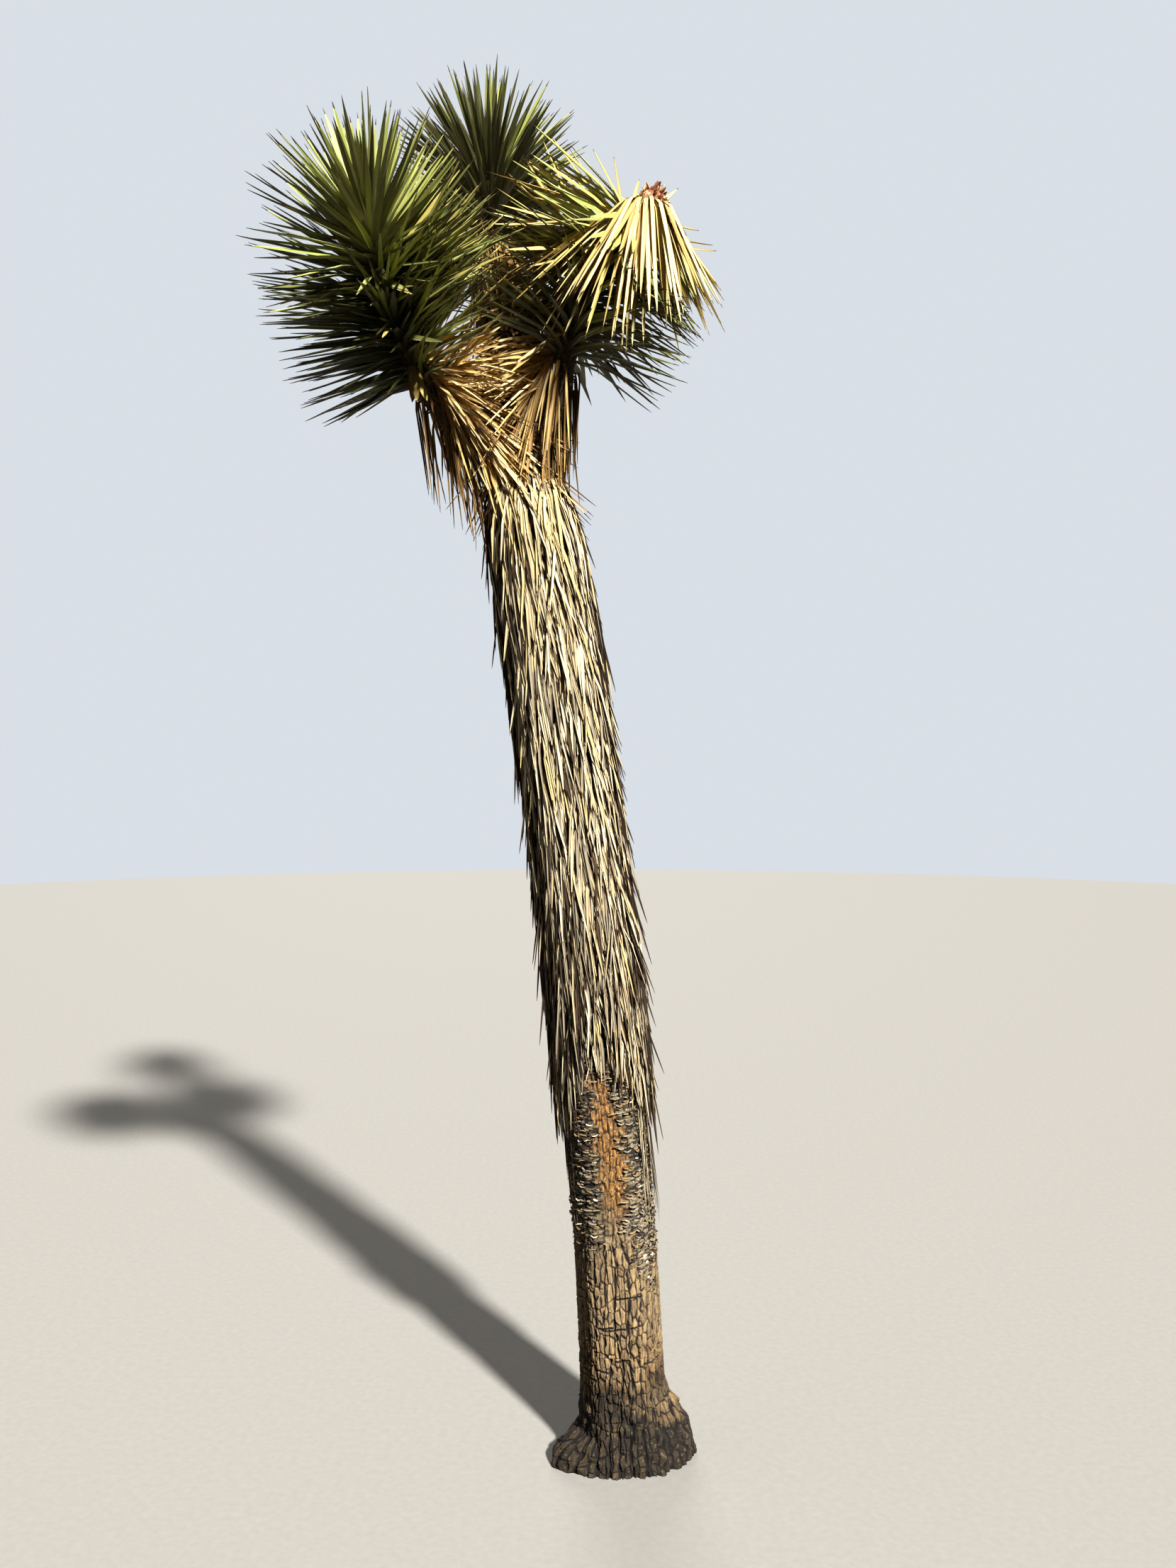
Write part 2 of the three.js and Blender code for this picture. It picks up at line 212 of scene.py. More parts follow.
def colour(code):
    """A colour that is written as on a screen, such as "#a08a68", as linear light."""
    parts = [int(code[k : k + 2], 16) / 255 for k in (1, 3, 5)]
    linear = [p / 12.92 if p <= 0.04045 else ((p + 0.055) / 1.055) ** 2.4 for p in parts]
    return (*linear, 1.0)


# %% [markdown]
# ## Floor
# A pale floor catches the shadow. It throws no light back up, because that would wash out the dark
# undersides of the leaves. It belongs to the stage and not to the tree.

# %% Helper that makes a mesh from arrays
def make_mesh(name, points, groups, materials, uv=None, numbers=None, smooth=False):
    """A mesh from points and groups of faces. A group is (faces, slots): rows of point numbers, all with the
    same count, and the material slot of each row. All of them are turned round if they face inward."""
    volume = 0.0
    for faces, _ in groups:
        first = points[faces[:, 0]]
        for k in range(1, faces.shape[1] - 1):
            volume += np.einsum("ij,ij->", first, np.cross(points[faces[:, k]], points[faces[:, k + 1]]))
    if volume < 0:
        groups = [(faces[:, ::-1], slots) for faces, slots in groups]
    corners = np.concatenate([faces.ravel() for faces, _ in groups]).astype(np.int32)
    counts = np.concatenate([np.full(len(faces), faces.shape[1]) for faces, _ in groups])
    slots = np.concatenate([np.broadcast_to(s, len(faces)) for faces, s in groups]).astype(np.int32)
    mesh = bpy.data.meshes.new(name)
    mesh.vertices.add(len(points))
    mesh.vertices.foreach_set("co", points.astype(np.float32).ravel())
    mesh.loops.add(len(corners))
    mesh.loops.foreach_set("vertex_index", corners)
    mesh.polygons.add(len(counts))
    mesh.polygons.foreach_set("loop_start", (np.cumsum(counts) - counts).astype(np.int32))
    mesh.polygons.foreach_set("material_index", slots)
    mesh.polygons.foreach_set("use_smooth", np.full(len(counts), smooth))
    for key, values in (numbers or {}).items():
        layer = mesh.attributes.new(key, "FLOAT", "POINT")
        layer.data.foreach_set("value", values.astype(np.float32).ravel())
    if uv is not None:
        mesh.uv_layers.new(name="blade").data.foreach_set("uv", uv[corners].astype(np.float32).ravel())
    mesh.update(calc_edges=True)
    for material in materials:
        mesh.materials.append(material)
    piece = bpy.data.objects.new(name, mesh)
    bpy.context.collection.objects.link(piece)
    triangles = int(np.sum(counts - 2))
    print(f"{name}: {len(points)} points, {triangles} triangles")
    return piece


def dress(piece, slot, *nodes):
    """Fixes a piece to the tree and hides the solids that it stands for. The slot is not used."""
    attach(piece, "root")
    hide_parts(*nodes)


# %% Make the floor
FLOOR_RADIUS = 14.0
FLOOR_RINGS = 24
FLOOR_SIDES = 96
FLOOR_ROUGHNESS = 0.9
FLOOR_GRAIN = 60.0

floor_finish = Finish("pale_floor", FLOOR_ROUGHNESS)
grain = floor_finish.noise(floor_finish.own_place(), FLOOR_GRAIN)
floor_finish.set_colour(floor_finish.mix(grain, colour("#98948c"), colour("#a5a199")))
ring_radius = FLOOR_RADIUS * np.linspace(1 / FLOOR_RINGS, 1, FLOOR_RINGS)[:, None]
ring_turn = np.linspace(0, math.tau, FLOOR_SIDES, endpoint=False)[None, :]
floor_points = np.stack(
    [ring_radius * np.cos(ring_turn), ring_radius * np.sin(ring_turn), 0 * ring_radius * ring_turn], axis=-1
).reshape(-1, 3)
ring, side = np.meshgrid(np.arange(FLOOR_RINGS - 1), np.arange(FLOOR_SIDES), indexing="ij")
beside = (side + 1) % FLOOR_SIDES
floor_quads = np.stack(
    [
        ring * FLOOR_SIDES + side,
        (ring + 1) * FLOOR_SIDES + side,
        (ring + 1) * FLOOR_SIDES + beside,
        ring * FLOOR_SIDES + beside,
    ],
    axis=-1,
).reshape(-1, 4)
middle_face = np.arange(FLOOR_SIDES)[None, :]
floor = make_mesh("floor", floor_points, [(floor_quads, 0), (middle_face, 0)], [floor_finish.material])
floor.visible_diffuse = False

# %% [markdown]
# ## The trunk's line
# The trunk leans to the left, and leans more with height. Its radius is nearly even, and at the foot it
# swells into low root lobes. The frame was made with the same few numbers, so the bark lands where the
# solid is.

# %% Formulas of the trunk
FORK_HEIGHT = 2.170
TRUNK_LEAN = np.array([-0.218, 0.050])
LEAN_POWER = 1.6
TRUNK_RADIUS_LOW = 0.088
TRUNK_RADIUS_TOP = 0.077
TAPER_START = 0.5
TOP_ROUNDING_HEIGHT = 0.070
TOP_ROUNDING_LOSS = 0.55
BUTT_SWELL = 0.012
BUTT_SWELL_HEIGHT = 0.130
# heading in degrees, reach, height and half width in degrees of each root lobe
FLARE_LOBES = (
    (2, 0.054, 0.126, 32),
    (62, 0.038, 0.096, 26),
    (124, 0.050, 0.082, 30),
    (198, 0.066, 0.058, 28),
    (262, 0.005, 0.060, 30),
    (322, 0.016, 0.084, 22),
)
FLARE_POWER = 4
RIB_COUNT = 6
RIB_RISE = 0.0032
RIB_SWAY = 0.4
RIB_PITCH = 0.260
UP = np.array([0.0, 0.0, 1.0])
DOWN = -UP


def smooth_step(low, high, x):
    share = np.clip((x - low) / (high - low), 0, 1)
    return share * share * (3 - 2 * share)


def blend(low, high, share):
    return low + (high - low) * share


def unit(vectors):
    return vectors / np.linalg.norm(vectors, axis=-1, keepdims=True)


def heading(angle):
    return np.stack([np.cos(angle), np.sin(angle), np.zeros_like(angle)], axis=-1)


def wrapped_degrees(angle, middle):
    """How far an angle in radians lies past a heading in degrees, from -180 to 180."""
    return (np.degrees(angle) - middle + 180) % 360 - 180


def hump(angle, middle, half_width):
    """A smooth hump round a limb: 1 at a heading, and nearly 0 at twice the half width away from it."""
    return np.exp(-((wrapped_degrees(angle, middle) / half_width) ** 2))


def edge_height(angle, level, humps):
    """A height round the trunk, even but for humps. A hump is a heading, a half width and a rise."""
    for middle, half_width, rise in humps:
        level = level + rise * hump(angle, middle, half_width)
    return level


def trunk_centre(z):
    share = (np.maximum(z, 0) / FORK_HEIGHT) ** LEAN_POWER
    return np.stack([TRUNK_LEAN[0] * share, TRUNK_LEAN[1] * share, z + 0 * share], axis=-1)


def trunk_down(z):
    step = 0.05
    return unit(trunk_centre(z) - trunk_centre(z + step))


def trunk_radius(z, angle):
    radius = blend(TRUNK_RADIUS_LOW, TRUNK_RADIUS_TOP, smooth_step(TAPER_START, FORK_HEIGHT, z))
    radius = radius + BUTT_SWELL * np.exp(-z / BUTT_SWELL_HEIGHT)
    radius = radius + RIB_RISE * np.cos(RIB_COUNT * angle + RIB_SWAY * np.sin(z / RIB_PITCH))
    for middle, reach, height, half_width in FLARE_LOBES:
        radius = radius + reach * hump(angle, middle, half_width) * np.exp(-((z / height) ** FLARE_POWER))
    rounding = np.maximum(0, 1 + (z - FORK_HEIGHT) / TOP_ROUNDING_HEIGHT)
    return radius * np.sqrt(1 - TOP_ROUNDING_LOSS * rounding**2)


print("trunk centre at the fork:", trunk_centre(np.array(FORK_HEIGHT)).round(3))

# %% [markdown]
# ## Bark as relief
# The old bark is corky and splits into upright plates with deep furrows between them, and here and there a
# crack runs across. Each plate is a cell round a jittered point. The distance to the border of its cell
# gives the furrow. It is measured in real metres, so that the shape of a cell doesn't stretch its furrows.

# %% Formulas of the bark
FEWEST_COLUMNS = 5
ROWS_BELOW = 2.5
SPARE_ROWS = 8
ACROSS_JITTER = (0.3, 0.7)
ALONG_JITTER = (0.05, 0.95)
PLATE_SWAY = 0.2
PLATE_DRIFT = 0.15
FAR_OFF = 9.0


def ripple(angle, z, seed, turns=7, pitch=0.11, waves=7):
    """A smooth random wave on a limb, from about -1 to 1, that closes on itself round the limb."""
    draw = np.random.default_rng(seed)
    total = 0
    for _ in range(waves):
        around = draw.integers(-turns, turns + 1)
        along = draw.uniform(0.3, 1.0) / pitch * math.tau
        total = total + np.sin(around * angle + along * z + draw.uniform(0, math.tau))
    return total / math.sqrt(waves)


def plates(angle, z, radius, width, tall, seed):
    """For each place on a limb: metres to the next furrow, how upright it runs, and its plate's tone."""
    draw = np.random.default_rng(seed)
    columns = max(FEWEST_COLUMNS, round(math.tau * radius / width))
    rows = int(np.max(z) / tall) + SPARE_ROWS
    across_jitter = draw.uniform(*ACROSS_JITTER, (columns, rows))
    along_jitter = draw.uniform(*ALONG_JITTER, (columns, rows))
    tones = draw.uniform(0, 1, (columns, rows))
    across = (angle / math.tau * columns + PLATE_SWAY * ripple(angle, z, seed + 1, pitch=0.2)) % columns
    along = z / tall + ROWS_BELOW + PLATE_DRIFT * ripple(angle, z, seed + 2)
    column, row = np.floor(across).astype(int), np.floor(along).astype(int)
    near = np.full(np.shape(across), FAR_OFF)
    next_near = near.copy()
    near_at = np.zeros(np.shape(across) + (2,))
    next_at = near_at.copy()
    tone = np.zeros(np.shape(across))
    for i in (-1, 0, 1):
        for j in (-1, 0, 1):
            c, r = (column + i) % columns, np.clip(row + j, 0, rows - 1)
            at = np.stack([column + i + across_jitter[c, r], row + j + along_jitter[c, r]], axis=-1)
            away = (at[..., 0] - across) ** 2 + (at[..., 1] - along) ** 2
            nearest = away < near
            second = ~nearest & (away < next_near)
            next_near = np.where(nearest, near, np.where(second, away, next_near))
            next_at = np.where(nearest[..., None], near_at, np.where(second[..., None], at, next_at))
            near = np.where(nearest, away, near)
            near_at = np.where(nearest[..., None], at, near_at)
            tone = np.where(nearest, tones[c, r], tone)
    apart = np.abs(next_at - near_at)
    slope = np.hypot(apart[..., 0] / width, apart[..., 1] / tall)
    upright = apart[..., 0] * tall / np.maximum(np.hypot(apart[..., 0] * tall, apart[..., 1] * width), 1e-9)
    return (next_near - near) / 2 / slope, upright, tone


def furrows(angle, z, radius, width, tall, half_width, seed, level=0.3):
    """0 to 1 for how deep in a furrow each place is, and its plate's tone. Upright furrows have the full
    width, and those that run across have the share given as level."""
    away, upright, tone = plates(angle, z, radius, width, tall, seed)
    weight = blend(level, 1.0, upright**3)
    uneven = np.clip(0.85 + 0.5 * ripple(angle, z, seed + 3, turns=22, pitch=0.025), 0.15, 1.6)
    return (1 - smooth_step(0.0, 1.0, away / (half_width * uneven * weight))) * weight, tone


# %% [markdown]
# ## The trunk's bark
# From the ground up the trunk shows plated bark, then a ragged band of broken leaf bases with a bare strip
# of orange-brown fibre in front, and then the coat of dead leaves. Four numbers are kept on every point of
# the mesh for the material: how deep in a furrow it is, the tone of its plate, and whether it lies in the
# bare strip or among the broken leaf bases.

# %% Make the trunk's bark
# width and height of a plate, and half the width of the furrow beside it
COARSE_PLATE = (0.0240, 0.070, 0.0050)
MIDDLE_PLATE = (0.0125, 0.031, 0.0027)
FINE_PLATE = (0.0062, 0.020, 0.0012)
SCALE_PLATE = (0.0200, 0.0090, 0.0034)
COARSE_FURROW_DEPTH = 0.0080
MIDDLE_FURROW_DEPTH = 0.0044
FINE_FURROW_DEPTH = 0.0012
SCALE_GAP_DEPTH = 0.0046
PLATE_STEP = 0.0038
SCALE_STEP = 0.0040
FIBRE_RISE = 0.0005
RAGGED_RISE = 0.0028
BARE_DEPTH = 0.0036
BARE_FIBRE_RISE = 0.0014
BARE_SPLIT_DEPTH = 0.0024
BARE_FINE_DEPTH = 0.0010
RAGGED_HEIGHTS = (0.08, 0.22)
WORN_HEIGHTS = (0.24, 0.40)
STUBS_START = 0.50
STUBS_END = 0.97
STUBS_EDGE = ((-30, 36, -0.07), (-88, 22, 0.07))
STUBS_RAGGED = 0.022
STRIP_LEVELS = (0.54, 0.66, 0.76, 0.88)
STRIP_HEADINGS = (-84, -86, -90, -97)
STRIP_HALF_WIDTHS = (19, 24, 23, 14)
# headings in degrees across which the stubs go from painted shade at the left to their lit tone
PAINTED_LIT_SIDE = (-130, -60)
SEAM_HEIGHTS = (0.25, 0.50)
# heading in degrees, height and half width in degrees of the cracks that run across the front
FRONT_CRACKS = (
    (-77, 0.380, 25),
    (-99, 0.311, 21),
    (-67, 0.317, 10),
    (-118, 0.220, 10),
    (-91, 0.245, 10),
    (-38, 0.233, 24),
    (-102, 0.151, 12),
    (-150, 0.227, 18),
)
MORE_CRACKS = 24
CRACK_HEADINGS = (0, 250)
CRACK_HEIGHTS = (0.04, 0.46)
CRACK_TURNS = (9, 24)
CRACK_HALF_WIDTH = 0.0018
CRACK_WAVE = 0.0022


def painted_lit_side(angle):
    """0 at the left of the trunk's front and 1 at the right of it. The darker left is painted shade."""
    return smooth_step(*PAINTED_LIT_SIDE, wrapped_degrees(angle, 0))


def strip_share(z, angle):
    """1 in the bare strip of fibre at the front, and 0 outside it. Its edges are torn."""
    middle = np.interp(z, STRIP_LEVELS, STRIP_HEADINGS)
    half = np.interp(z, STRIP_LEVELS, STRIP_HALF_WIDTHS)
    torn = 5 * ripple(angle, z, 71, turns=5, pitch=0.05) + 6 * ripple(angle, z, 72, turns=34, pitch=0.014)
    off = np.abs(wrapped_degrees(angle, middle)) + torn
    low, high = STRIP_LEVELS[0], STRIP_LEVELS[-1]
    ends = smooth_step(low - 0.03, low + 0.05, z + torn * 0.003) * (1 - smooth_step(high - 0.05, high, z))
    return (1 - smooth_step(half * 0.6, half * 1.1, off)) * ends


def stub_share(z, angle):
    """1 where the trunk is rough with broken leaf bases. They reach lowest at the right."""
    lowest = edge_height(angle, STUBS_START, STUBS_EDGE)
    uneven = STUBS_RAGGED * ripple(angle, z, 23, turns=12, pitch=0.05)
    uneven = uneven + STUBS_RAGGED * ripple(angle, z, 24, turns=30, pitch=0.02)
    return smooth_step(lowest - 0.07, lowest + 0.06, z + uneven)


def cross_cracks(z, angle):
    """0 to 1 on the few cracks that run across the plates."""
    draw = np.random.default_rng(5)
    cracks = list(FRONT_CRACKS)
    for _ in range(MORE_CRACKS):
        middle, height = draw.uniform(*CRACK_HEADINGS), draw.uniform(*CRACK_HEIGHTS)
        cracks.append((middle, height, draw.uniform(*CRACK_TURNS)))
    total = 0
    for middle, height, half_turn in cracks:
        off = wrapped_degrees(angle, middle)
        level = z - height - CRACK_WAVE * np.sin(np.radians(off) * 7 + height * 100)
        within = 1 - smooth_step(half_turn * 0.8, half_turn, np.abs(off))
        total = total + np.exp(-((level / CRACK_HALF_WIDTH) ** 2)) * within
    return np.clip(total, 0, 1)


def trunk_relief(z, angle):
    """Height of the bark over the trunk's even surface, and the four numbers for its material."""
    coarse, coarse_tone = furrows(angle, z, TRUNK_RADIUS_LOW, *COARSE_PLATE, 11, level=0.35)
    middle, tone = furrows(angle, z, TRUNK_RADIUS_LOW, *MIDDLE_PLATE, 12, level=1.0)
    fine, _ = furrows(angle, z, TRUNK_RADIUS_LOW, *FINE_PLATE, 14, level=0.4)
    gap, scale_tone = furrows(angle, z, TRUNK_RADIUS_LOW, *SCALE_PLATE, 13, level=1.0)
    cracks = cross_cracks(z, angle)
    fibres = ripple(angle, z, 19, turns=140, pitch=0.05, waves=9)
    worn = blend(1.0, 0.6, smooth_step(*WORN_HEIGHTS, z))
    ragged = 1 - smooth_step(*RAGGED_HEIGHTS, z)
    plated = PLATE_STEP * (0.6 * tone + 0.4 * coarse_tone - 0.5) * blend(0.6, 1.1, ragged)
    plated = plated - COARSE_FURROW_DEPTH * np.maximum(coarse * worn, 0.7 * cracks)
    plated = plated - MIDDLE_FURROW_DEPTH * middle * worn * (1 - coarse) - FINE_FURROW_DEPTH * fine
    plated = plated + FIBRE_RISE * fibres + ragged * RAGGED_RISE * ripple(angle, z, 25, turns=26, pitch=0.035)
    scaled = SCALE_STEP * (scale_tone - 0.6) - SCALE_GAP_DEPTH * gap + FIBRE_RISE * fibres
    bare = BARE_FIBRE_RISE * fibres - BARE_DEPTH - BARE_SPLIT_DEPTH * middle - BARE_FINE_DEPTH * fine
    strip = strip_share(z, angle)
    stubs = stub_share(z, angle)
    height = blend(blend(plated, scaled, stubs), bare, strip)
    shown = blend(0.75, 1.0, ragged)
    # how near black each place is painted: partly the bark's own dark in furrows, cracks and gaps, and partly
    # painted shade
    depth = np.maximum.reduce([coarse * shown, cracks, middle * shown, 0.5 * fine])
    depth = blend(depth, 0.9 * gap, stubs)
    depth = blend(depth, np.maximum(0.7 * middle, 0.4 * fine), strip)
    # in the stub zone the plate tone is darker at the left of the front: painted shade
    tone = blend(tone, scale_tone * blend(0.7, 1.0, painted_lit_side(angle)), stubs)
    return height, {"furrow": depth, "tone": tone, "strip": strip, "stubs": stubs}


def limb_mesh(name, points, numbers, material):
    """A closed limb from rows of rings of points, with a middle point on each end."""
    rows, columns, _ = points.shape
    ends = np.stack([points[0].mean(axis=0), points[-1].mean(axis=0)])
    every = np.concatenate([points.reshape(-1, 3), ends])
    on_ends = np.full(2, 0.5)
    numbers = {key: np.concatenate([values.ravel(), on_ends]) for key, values in numbers.items()}
    row, column = np.meshgrid(np.arange(rows - 1), np.arange(columns), indexing="ij")
    beside = (column + 1) % columns
    here, above = row * columns, (row + 1) * columns
    quads = np.stack([here + column, here + beside, above + beside, above + column], axis=-1).reshape(-1, 4)
    turn = np.arange(columns)
    turn_next = (turn + 1) % columns
    last = (rows - 1) * columns
    low_end = np.stack([np.full(columns, rows * columns), turn_next, turn], axis=-1)
    high_end = np.stack([np.full(columns, rows * columns + 1), last + turn, last + turn_next], axis=-1)
    groups = [(quads, 0), (np.concatenate([low_end, high_end]), 0)]
    return make_mesh(name, every, groups, [material], numbers=numbers, smooth=True)


# heights on the trunk: where the brown bark ends, where the tone is warmest, and where the dark foot ends
BROWN_BELOW = 0.31
WARM_HEIGHT = 0.19
DARK_BELOW = 0.215


def bark_finish(name):
    """Bark: tan plates with fibres, furrows that are dark and partly painted shade, a dark mottled foot, grey
    stubs and a strip of fibre.
    """
    finish = Finish(name, 0.92)
    place = finish.own_place()
    streaks = finish.noise(finish.stretched(place, (1.0, 1.0, 0.16)), 520.0, 4.0)
    crumbs = finish.noise(finish.stretched(place, (1.0, 1.0, 1.6)), 230.0, 3.0)
    patches = finish.noise(place, 12.0, 4.0)
    specks = finish.noise(place, 150.0, 2.0)
    tone, furrow, strip, stubs = (finish.attribute(key) for key in ("tone", "furrow", "strip", "stubs"))
    z = Value(finish, finish.node("ShaderNodeSeparateXYZ", {}, {"Vector": place}).outputs["Z"])
    low_down = ((BROWN_BELOW - z) * 4.5).clamped() * 0.85
    tan = finish.mix(tone, colour("#7b664b"), colour("#b1966c"))
    brown = finish.mix(tone, colour("#3f3020"), colour("#7b623f"))
    tan = finish.mix(low_down, tan, brown)
    tan = finish.mix((streaks * 3.2 - 1.45).clamped() * 0.6, tan, colour("#bda277"))
    tan = finish.mix((1.55 - streaks * 3.6).clamped() * 0.8, tan, colour("#3b2b1b"))
    mid_height = (1 - (z - WARM_HEIGHT) * (z - WARM_HEIGHT) * 90).clamped()
    warm = finish.mix(patches.past(0.47, 7.0) * mid_height * 0.38, tan, colour("#a06c36"))
    foot = ((DARK_BELOW - z) * 10.0 + (patches - 0.5) * 6.0).clamped() * 0.94
    aged = finish.mix(foot, warm, finish.mix(tone, colour("#18130e"), colour("#413525")))
    aged = finish.mix(specks.past(0.56, 9.0) * foot * 0.45, aged, colour("#85704c"))
    scaly = finish.mix(tone, colour("#33291d"), colour("#8f7f64"))
    scaly = finish.mix(crumbs.past(0.58, 12.0) * (tone * 0.7 + 0.3), scaly, colour("#d8ccb0"))
    aged = finish.mix(stubs, aged, scaly)
    fibre = finish.mix((streaks * 4.0 - 1.6).clamped(), colour("#6a4526"), colour("#cf984e"))
    fibre = finish.mix(patches.past(0.47, 7.0) * 0.85, fibre, colour("#957549"))
    fibre = finish.mix(crumbs.past(0.56, 12.0) * 0.8, fibre, colour("#35251a"))
    fibre = finish.mix(specks.past(0.62, 14.0), fibre, colour("#d3b888"))
    surface = finish.mix(strip * 0.92, aged, fibre)
    # the furrows, cracks and gaps between scales turn near black: partly the bark's own dark and partly
    # painted shade in them
    finish.set_colour(finish.mix((furrow * 1.5).clamped(), surface, colour("#120d09")))
    finish.set_bump(streaks * 0.7 + crumbs * 0.3, 0.8, 0.0024)
    return finish.material


ROW_STEP = 0.0018
HIGH_ROW_STEP = 0.0028
COATED_FROM = 1.0
COATED_ROWS = 60
COLUMNS_LOW = 480
COLUMNS_HIGH = 300
bark = bark_finish("plated_bark")


def trunk_piece(name, rows, columns):
    z = rows[:, None] + np.zeros(columns)[None, :]
    angle = np.linspace(0, math.tau, columns, endpoint=False)[None, :] + 0 * z
    height, numbers = trunk_relief(z, angle)
    points = trunk_centre(z) + heading(angle) * (trunk_radius(z, angle) + height)[..., None]
    dress(limb_mesh(name, points, numbers, bark), "bark", "trunk")


foot_top, low_top = SEAM_HEIGHTS
fine_rows = round(foot_top / ROW_STEP)
furrowed_rows = np.arange(low_top - ROW_STEP, COATED_FROM, HIGH_ROW_STEP)
coated_rows = np.linspace(COATED_FROM, FORK_HEIGHT, COATED_ROWS)
trunk_piece("trunk_bark_foot", np.linspace(0, foot_top, fine_rows), COLUMNS_LOW)
trunk_piece("trunk_bark_low", np.linspace(foot_top, low_top, fine_rows), COLUMNS_LOW)
trunk_piece("trunk_bark_high", np.concatenate([furrowed_rows, coated_rows]), COLUMNS_HIGH)

# %% [markdown]
# ## Arms
# Each arm is one smooth curve through its shoulder, the end of its bough, its knee and its bud. It is the
# kind of curve that the frame has, a Catmull-Rom spline whose steps grow with the square root of the
# distance between points, which keeps it from looping. The points are the frame's too, except that the
# left-hand bud stands about three centimetres higher here, where the leaves of the photo meet.

# %% Lines of the three arms
ARM_POINTS = {
    "right": (
        (-0.176, 0.024, 2.262),
        (-0.138, -0.002, 2.388),
        (-0.052, 0.006, 2.612),
        (0.058, -0.054, 2.722),
    ),
    "left": (
        (-0.318, 0.030, 2.226),
        (-0.420, -0.004, 2.338),
        (-0.492, -0.108, 2.458),
        (-0.520, -0.200, 2.618),
    ),
    "middle": (
        (-0.248, 0.104, 2.420),
        (-0.302, 0.236, 2.744),
        (-0.312, 0.272, 2.836),
        (-0.318, 0.302, 2.936),
    ),
}
ARM_ROOT_DEPTH = 0.090
ARM_ROOT_SHIFT = 0.15
SPLINE_STEPS = 160
BACKWARD = np.array([0.0, 1.0, 0.0])


class Arm:
    """The curve of one arm, measured by the share of its length."""

    def __init__(self, points):
        knots = np.array(points)
        root = trunk_centre(np.array(FORK_HEIGHT - ARM_ROOT_DEPTH))
        root[:2] += (knots[0, :2] - root[:2]) * ARM_ROOT_SHIFT
        knots = np.vstack([root, knots])
        ends = np.vstack([2 * knots[0] - knots[1], knots, 2 * knots[-1] - knots[-2]])
        steps = np.sqrt(np.linalg.norm(np.diff(ends, axis=0), axis=1))
        line = [knots[:1]]
        for k in range(1, len(ends) - 2):
            before, here, there, after = ends[k - 1 : k + 3]
            d0, d1, d2 = steps[k - 1 : k + 2]
            leave = ((here - before) / d0 - (there - before) / (d0 + d1) + (there - here) / d1) * d1
            arrive = ((there - here) / d1 - (after - here) / (d1 + d2) + (after - there) / d2) * d1
            t = np.linspace(0, 1, SPLINE_STEPS)[1:, None]
            cubic = 2 * here - 2 * there + leave + arrive
            square = -3 * here + 3 * there - 2 * leave - arrive
            line.append(here + leave * t + square * t**2 + cubic * t**3)
        self.line = np.vstack(line)
        reached = np.concatenate([[0], np.cumsum(np.linalg.norm(np.diff(self.line, axis=0), axis=1))])
        self.length = reached[-1]
        self.shares = reached / reached[-1]
        self.base = float(np.interp(knots[2, 2], self.line[:, 2], self.shares))

    def at(self, share):
        return np.stack([np.interp(share, self.shares, self.line[:, k]) for k in range(3)], axis=-1)

    def along(self, share):
        step = 0.004
        return unit(self.at(np.clip(share + step, 0, 1)) - self.at(np.clip(share - step, 0, 1)))

    def outward(self, share, angle):
        axis = self.along(share)
        right = unit(np.cross(BACKWARD, axis))
        back = unit(np.cross(axis, right))
        return right * np.cos(angle)[..., None] + back * np.sin(angle)[..., None]


arms = {name: Arm(points) for name, points in ARM_POINTS.items()}
for name, arm in arms.items():
    print(f"{name} arm: {arm.length:.3f} m long, its bough ends at {arm.base:.2f} of it")

# %% [markdown]
# ## Boughs and stems
# A bough has the trunk's bark on a smaller scale, and most of it hides under dead leaves. The stem of each
# head goes on from it, thinner and set with leaf bases.

# %% Make the boughs and the stems
BOUGH_RADII = (0.047, 0.031)
STEM_RADII = (0.029, 0.015)
WILTED_STEM = 0.046
# width and height of a plate of bark
BOUGH_PLATE = (0.011, 0.024)
STEM_PLATE = (0.012, 0.010)
LIMB_FURROW_HALF_WIDTH = 0.0030
LIMB_FURROW_DEPTH = 0.003
LIMB_STUBS = 0.6
LIMB_COLUMNS = 120
BOUGH_ROWS = 90
STEM_ROWS = 70
BOUGH_SEED = 30
STEM_SEED = 40
stem_bark = bark_finish("stem_bark")


def stem_end(side):
    """The share of an arm where its live leaves end. On the right one the wilted top goes on from there."""
    return 1 - WILTED_STEM / arms[side].length if side == "right" else 1.0


def arm_piece(name, arm, shares, radii, plate, seed, node, depth=LIMB_FURROW_DEPTH):
    """A stretch of an arm with plated bark, from one radius to another."""
    share = shares[:, None] + np.zeros(LIMB_COLUMNS)[None, :]
    angle = np.linspace(0, math.tau, LIMB_COLUMNS, endpoint=False)[None, :] + 0 * share
    mean_radius = float(np.mean(radii))
    furrow, tone = furrows(angle, share * arm.length, mean_radius, *plate, LIMB_FURROW_HALF_WIDTH, seed)
    radius = np.interp(share, [shares[0], shares[-1]], radii) - depth * furrow + depth * 0.4 * (tone - 0.5)
    points = arm.at(share) + arm.outward(share, angle) * radius[..., None]
    none = np.zeros_like(share)
    numbers = {"furrow": furrow, "tone": tone, "strip": none, "stubs": none + LIMB_STUBS}
    dress(limb_mesh(name, points, numbers, stem_bark), "bark", node)


for number, (side, arm) in enumerate(arms.items()):
    shares = np.linspace(0, arm.base, BOUGH_ROWS)
    seed = BOUGH_SEED + number
    arm_piece(f"bough_bark_{side}", arm, shares, BOUGH_RADII, BOUGH_PLATE, seed, f"bough_{side}")
    shares = np.linspace(arm.base, stem_end(side), STEM_ROWS)
    seed = STEM_SEED + number
    arm_piece(f"stem_{side}", arm, shares, STEM_RADII, STEM_PLATE, seed, f"head_{side}")

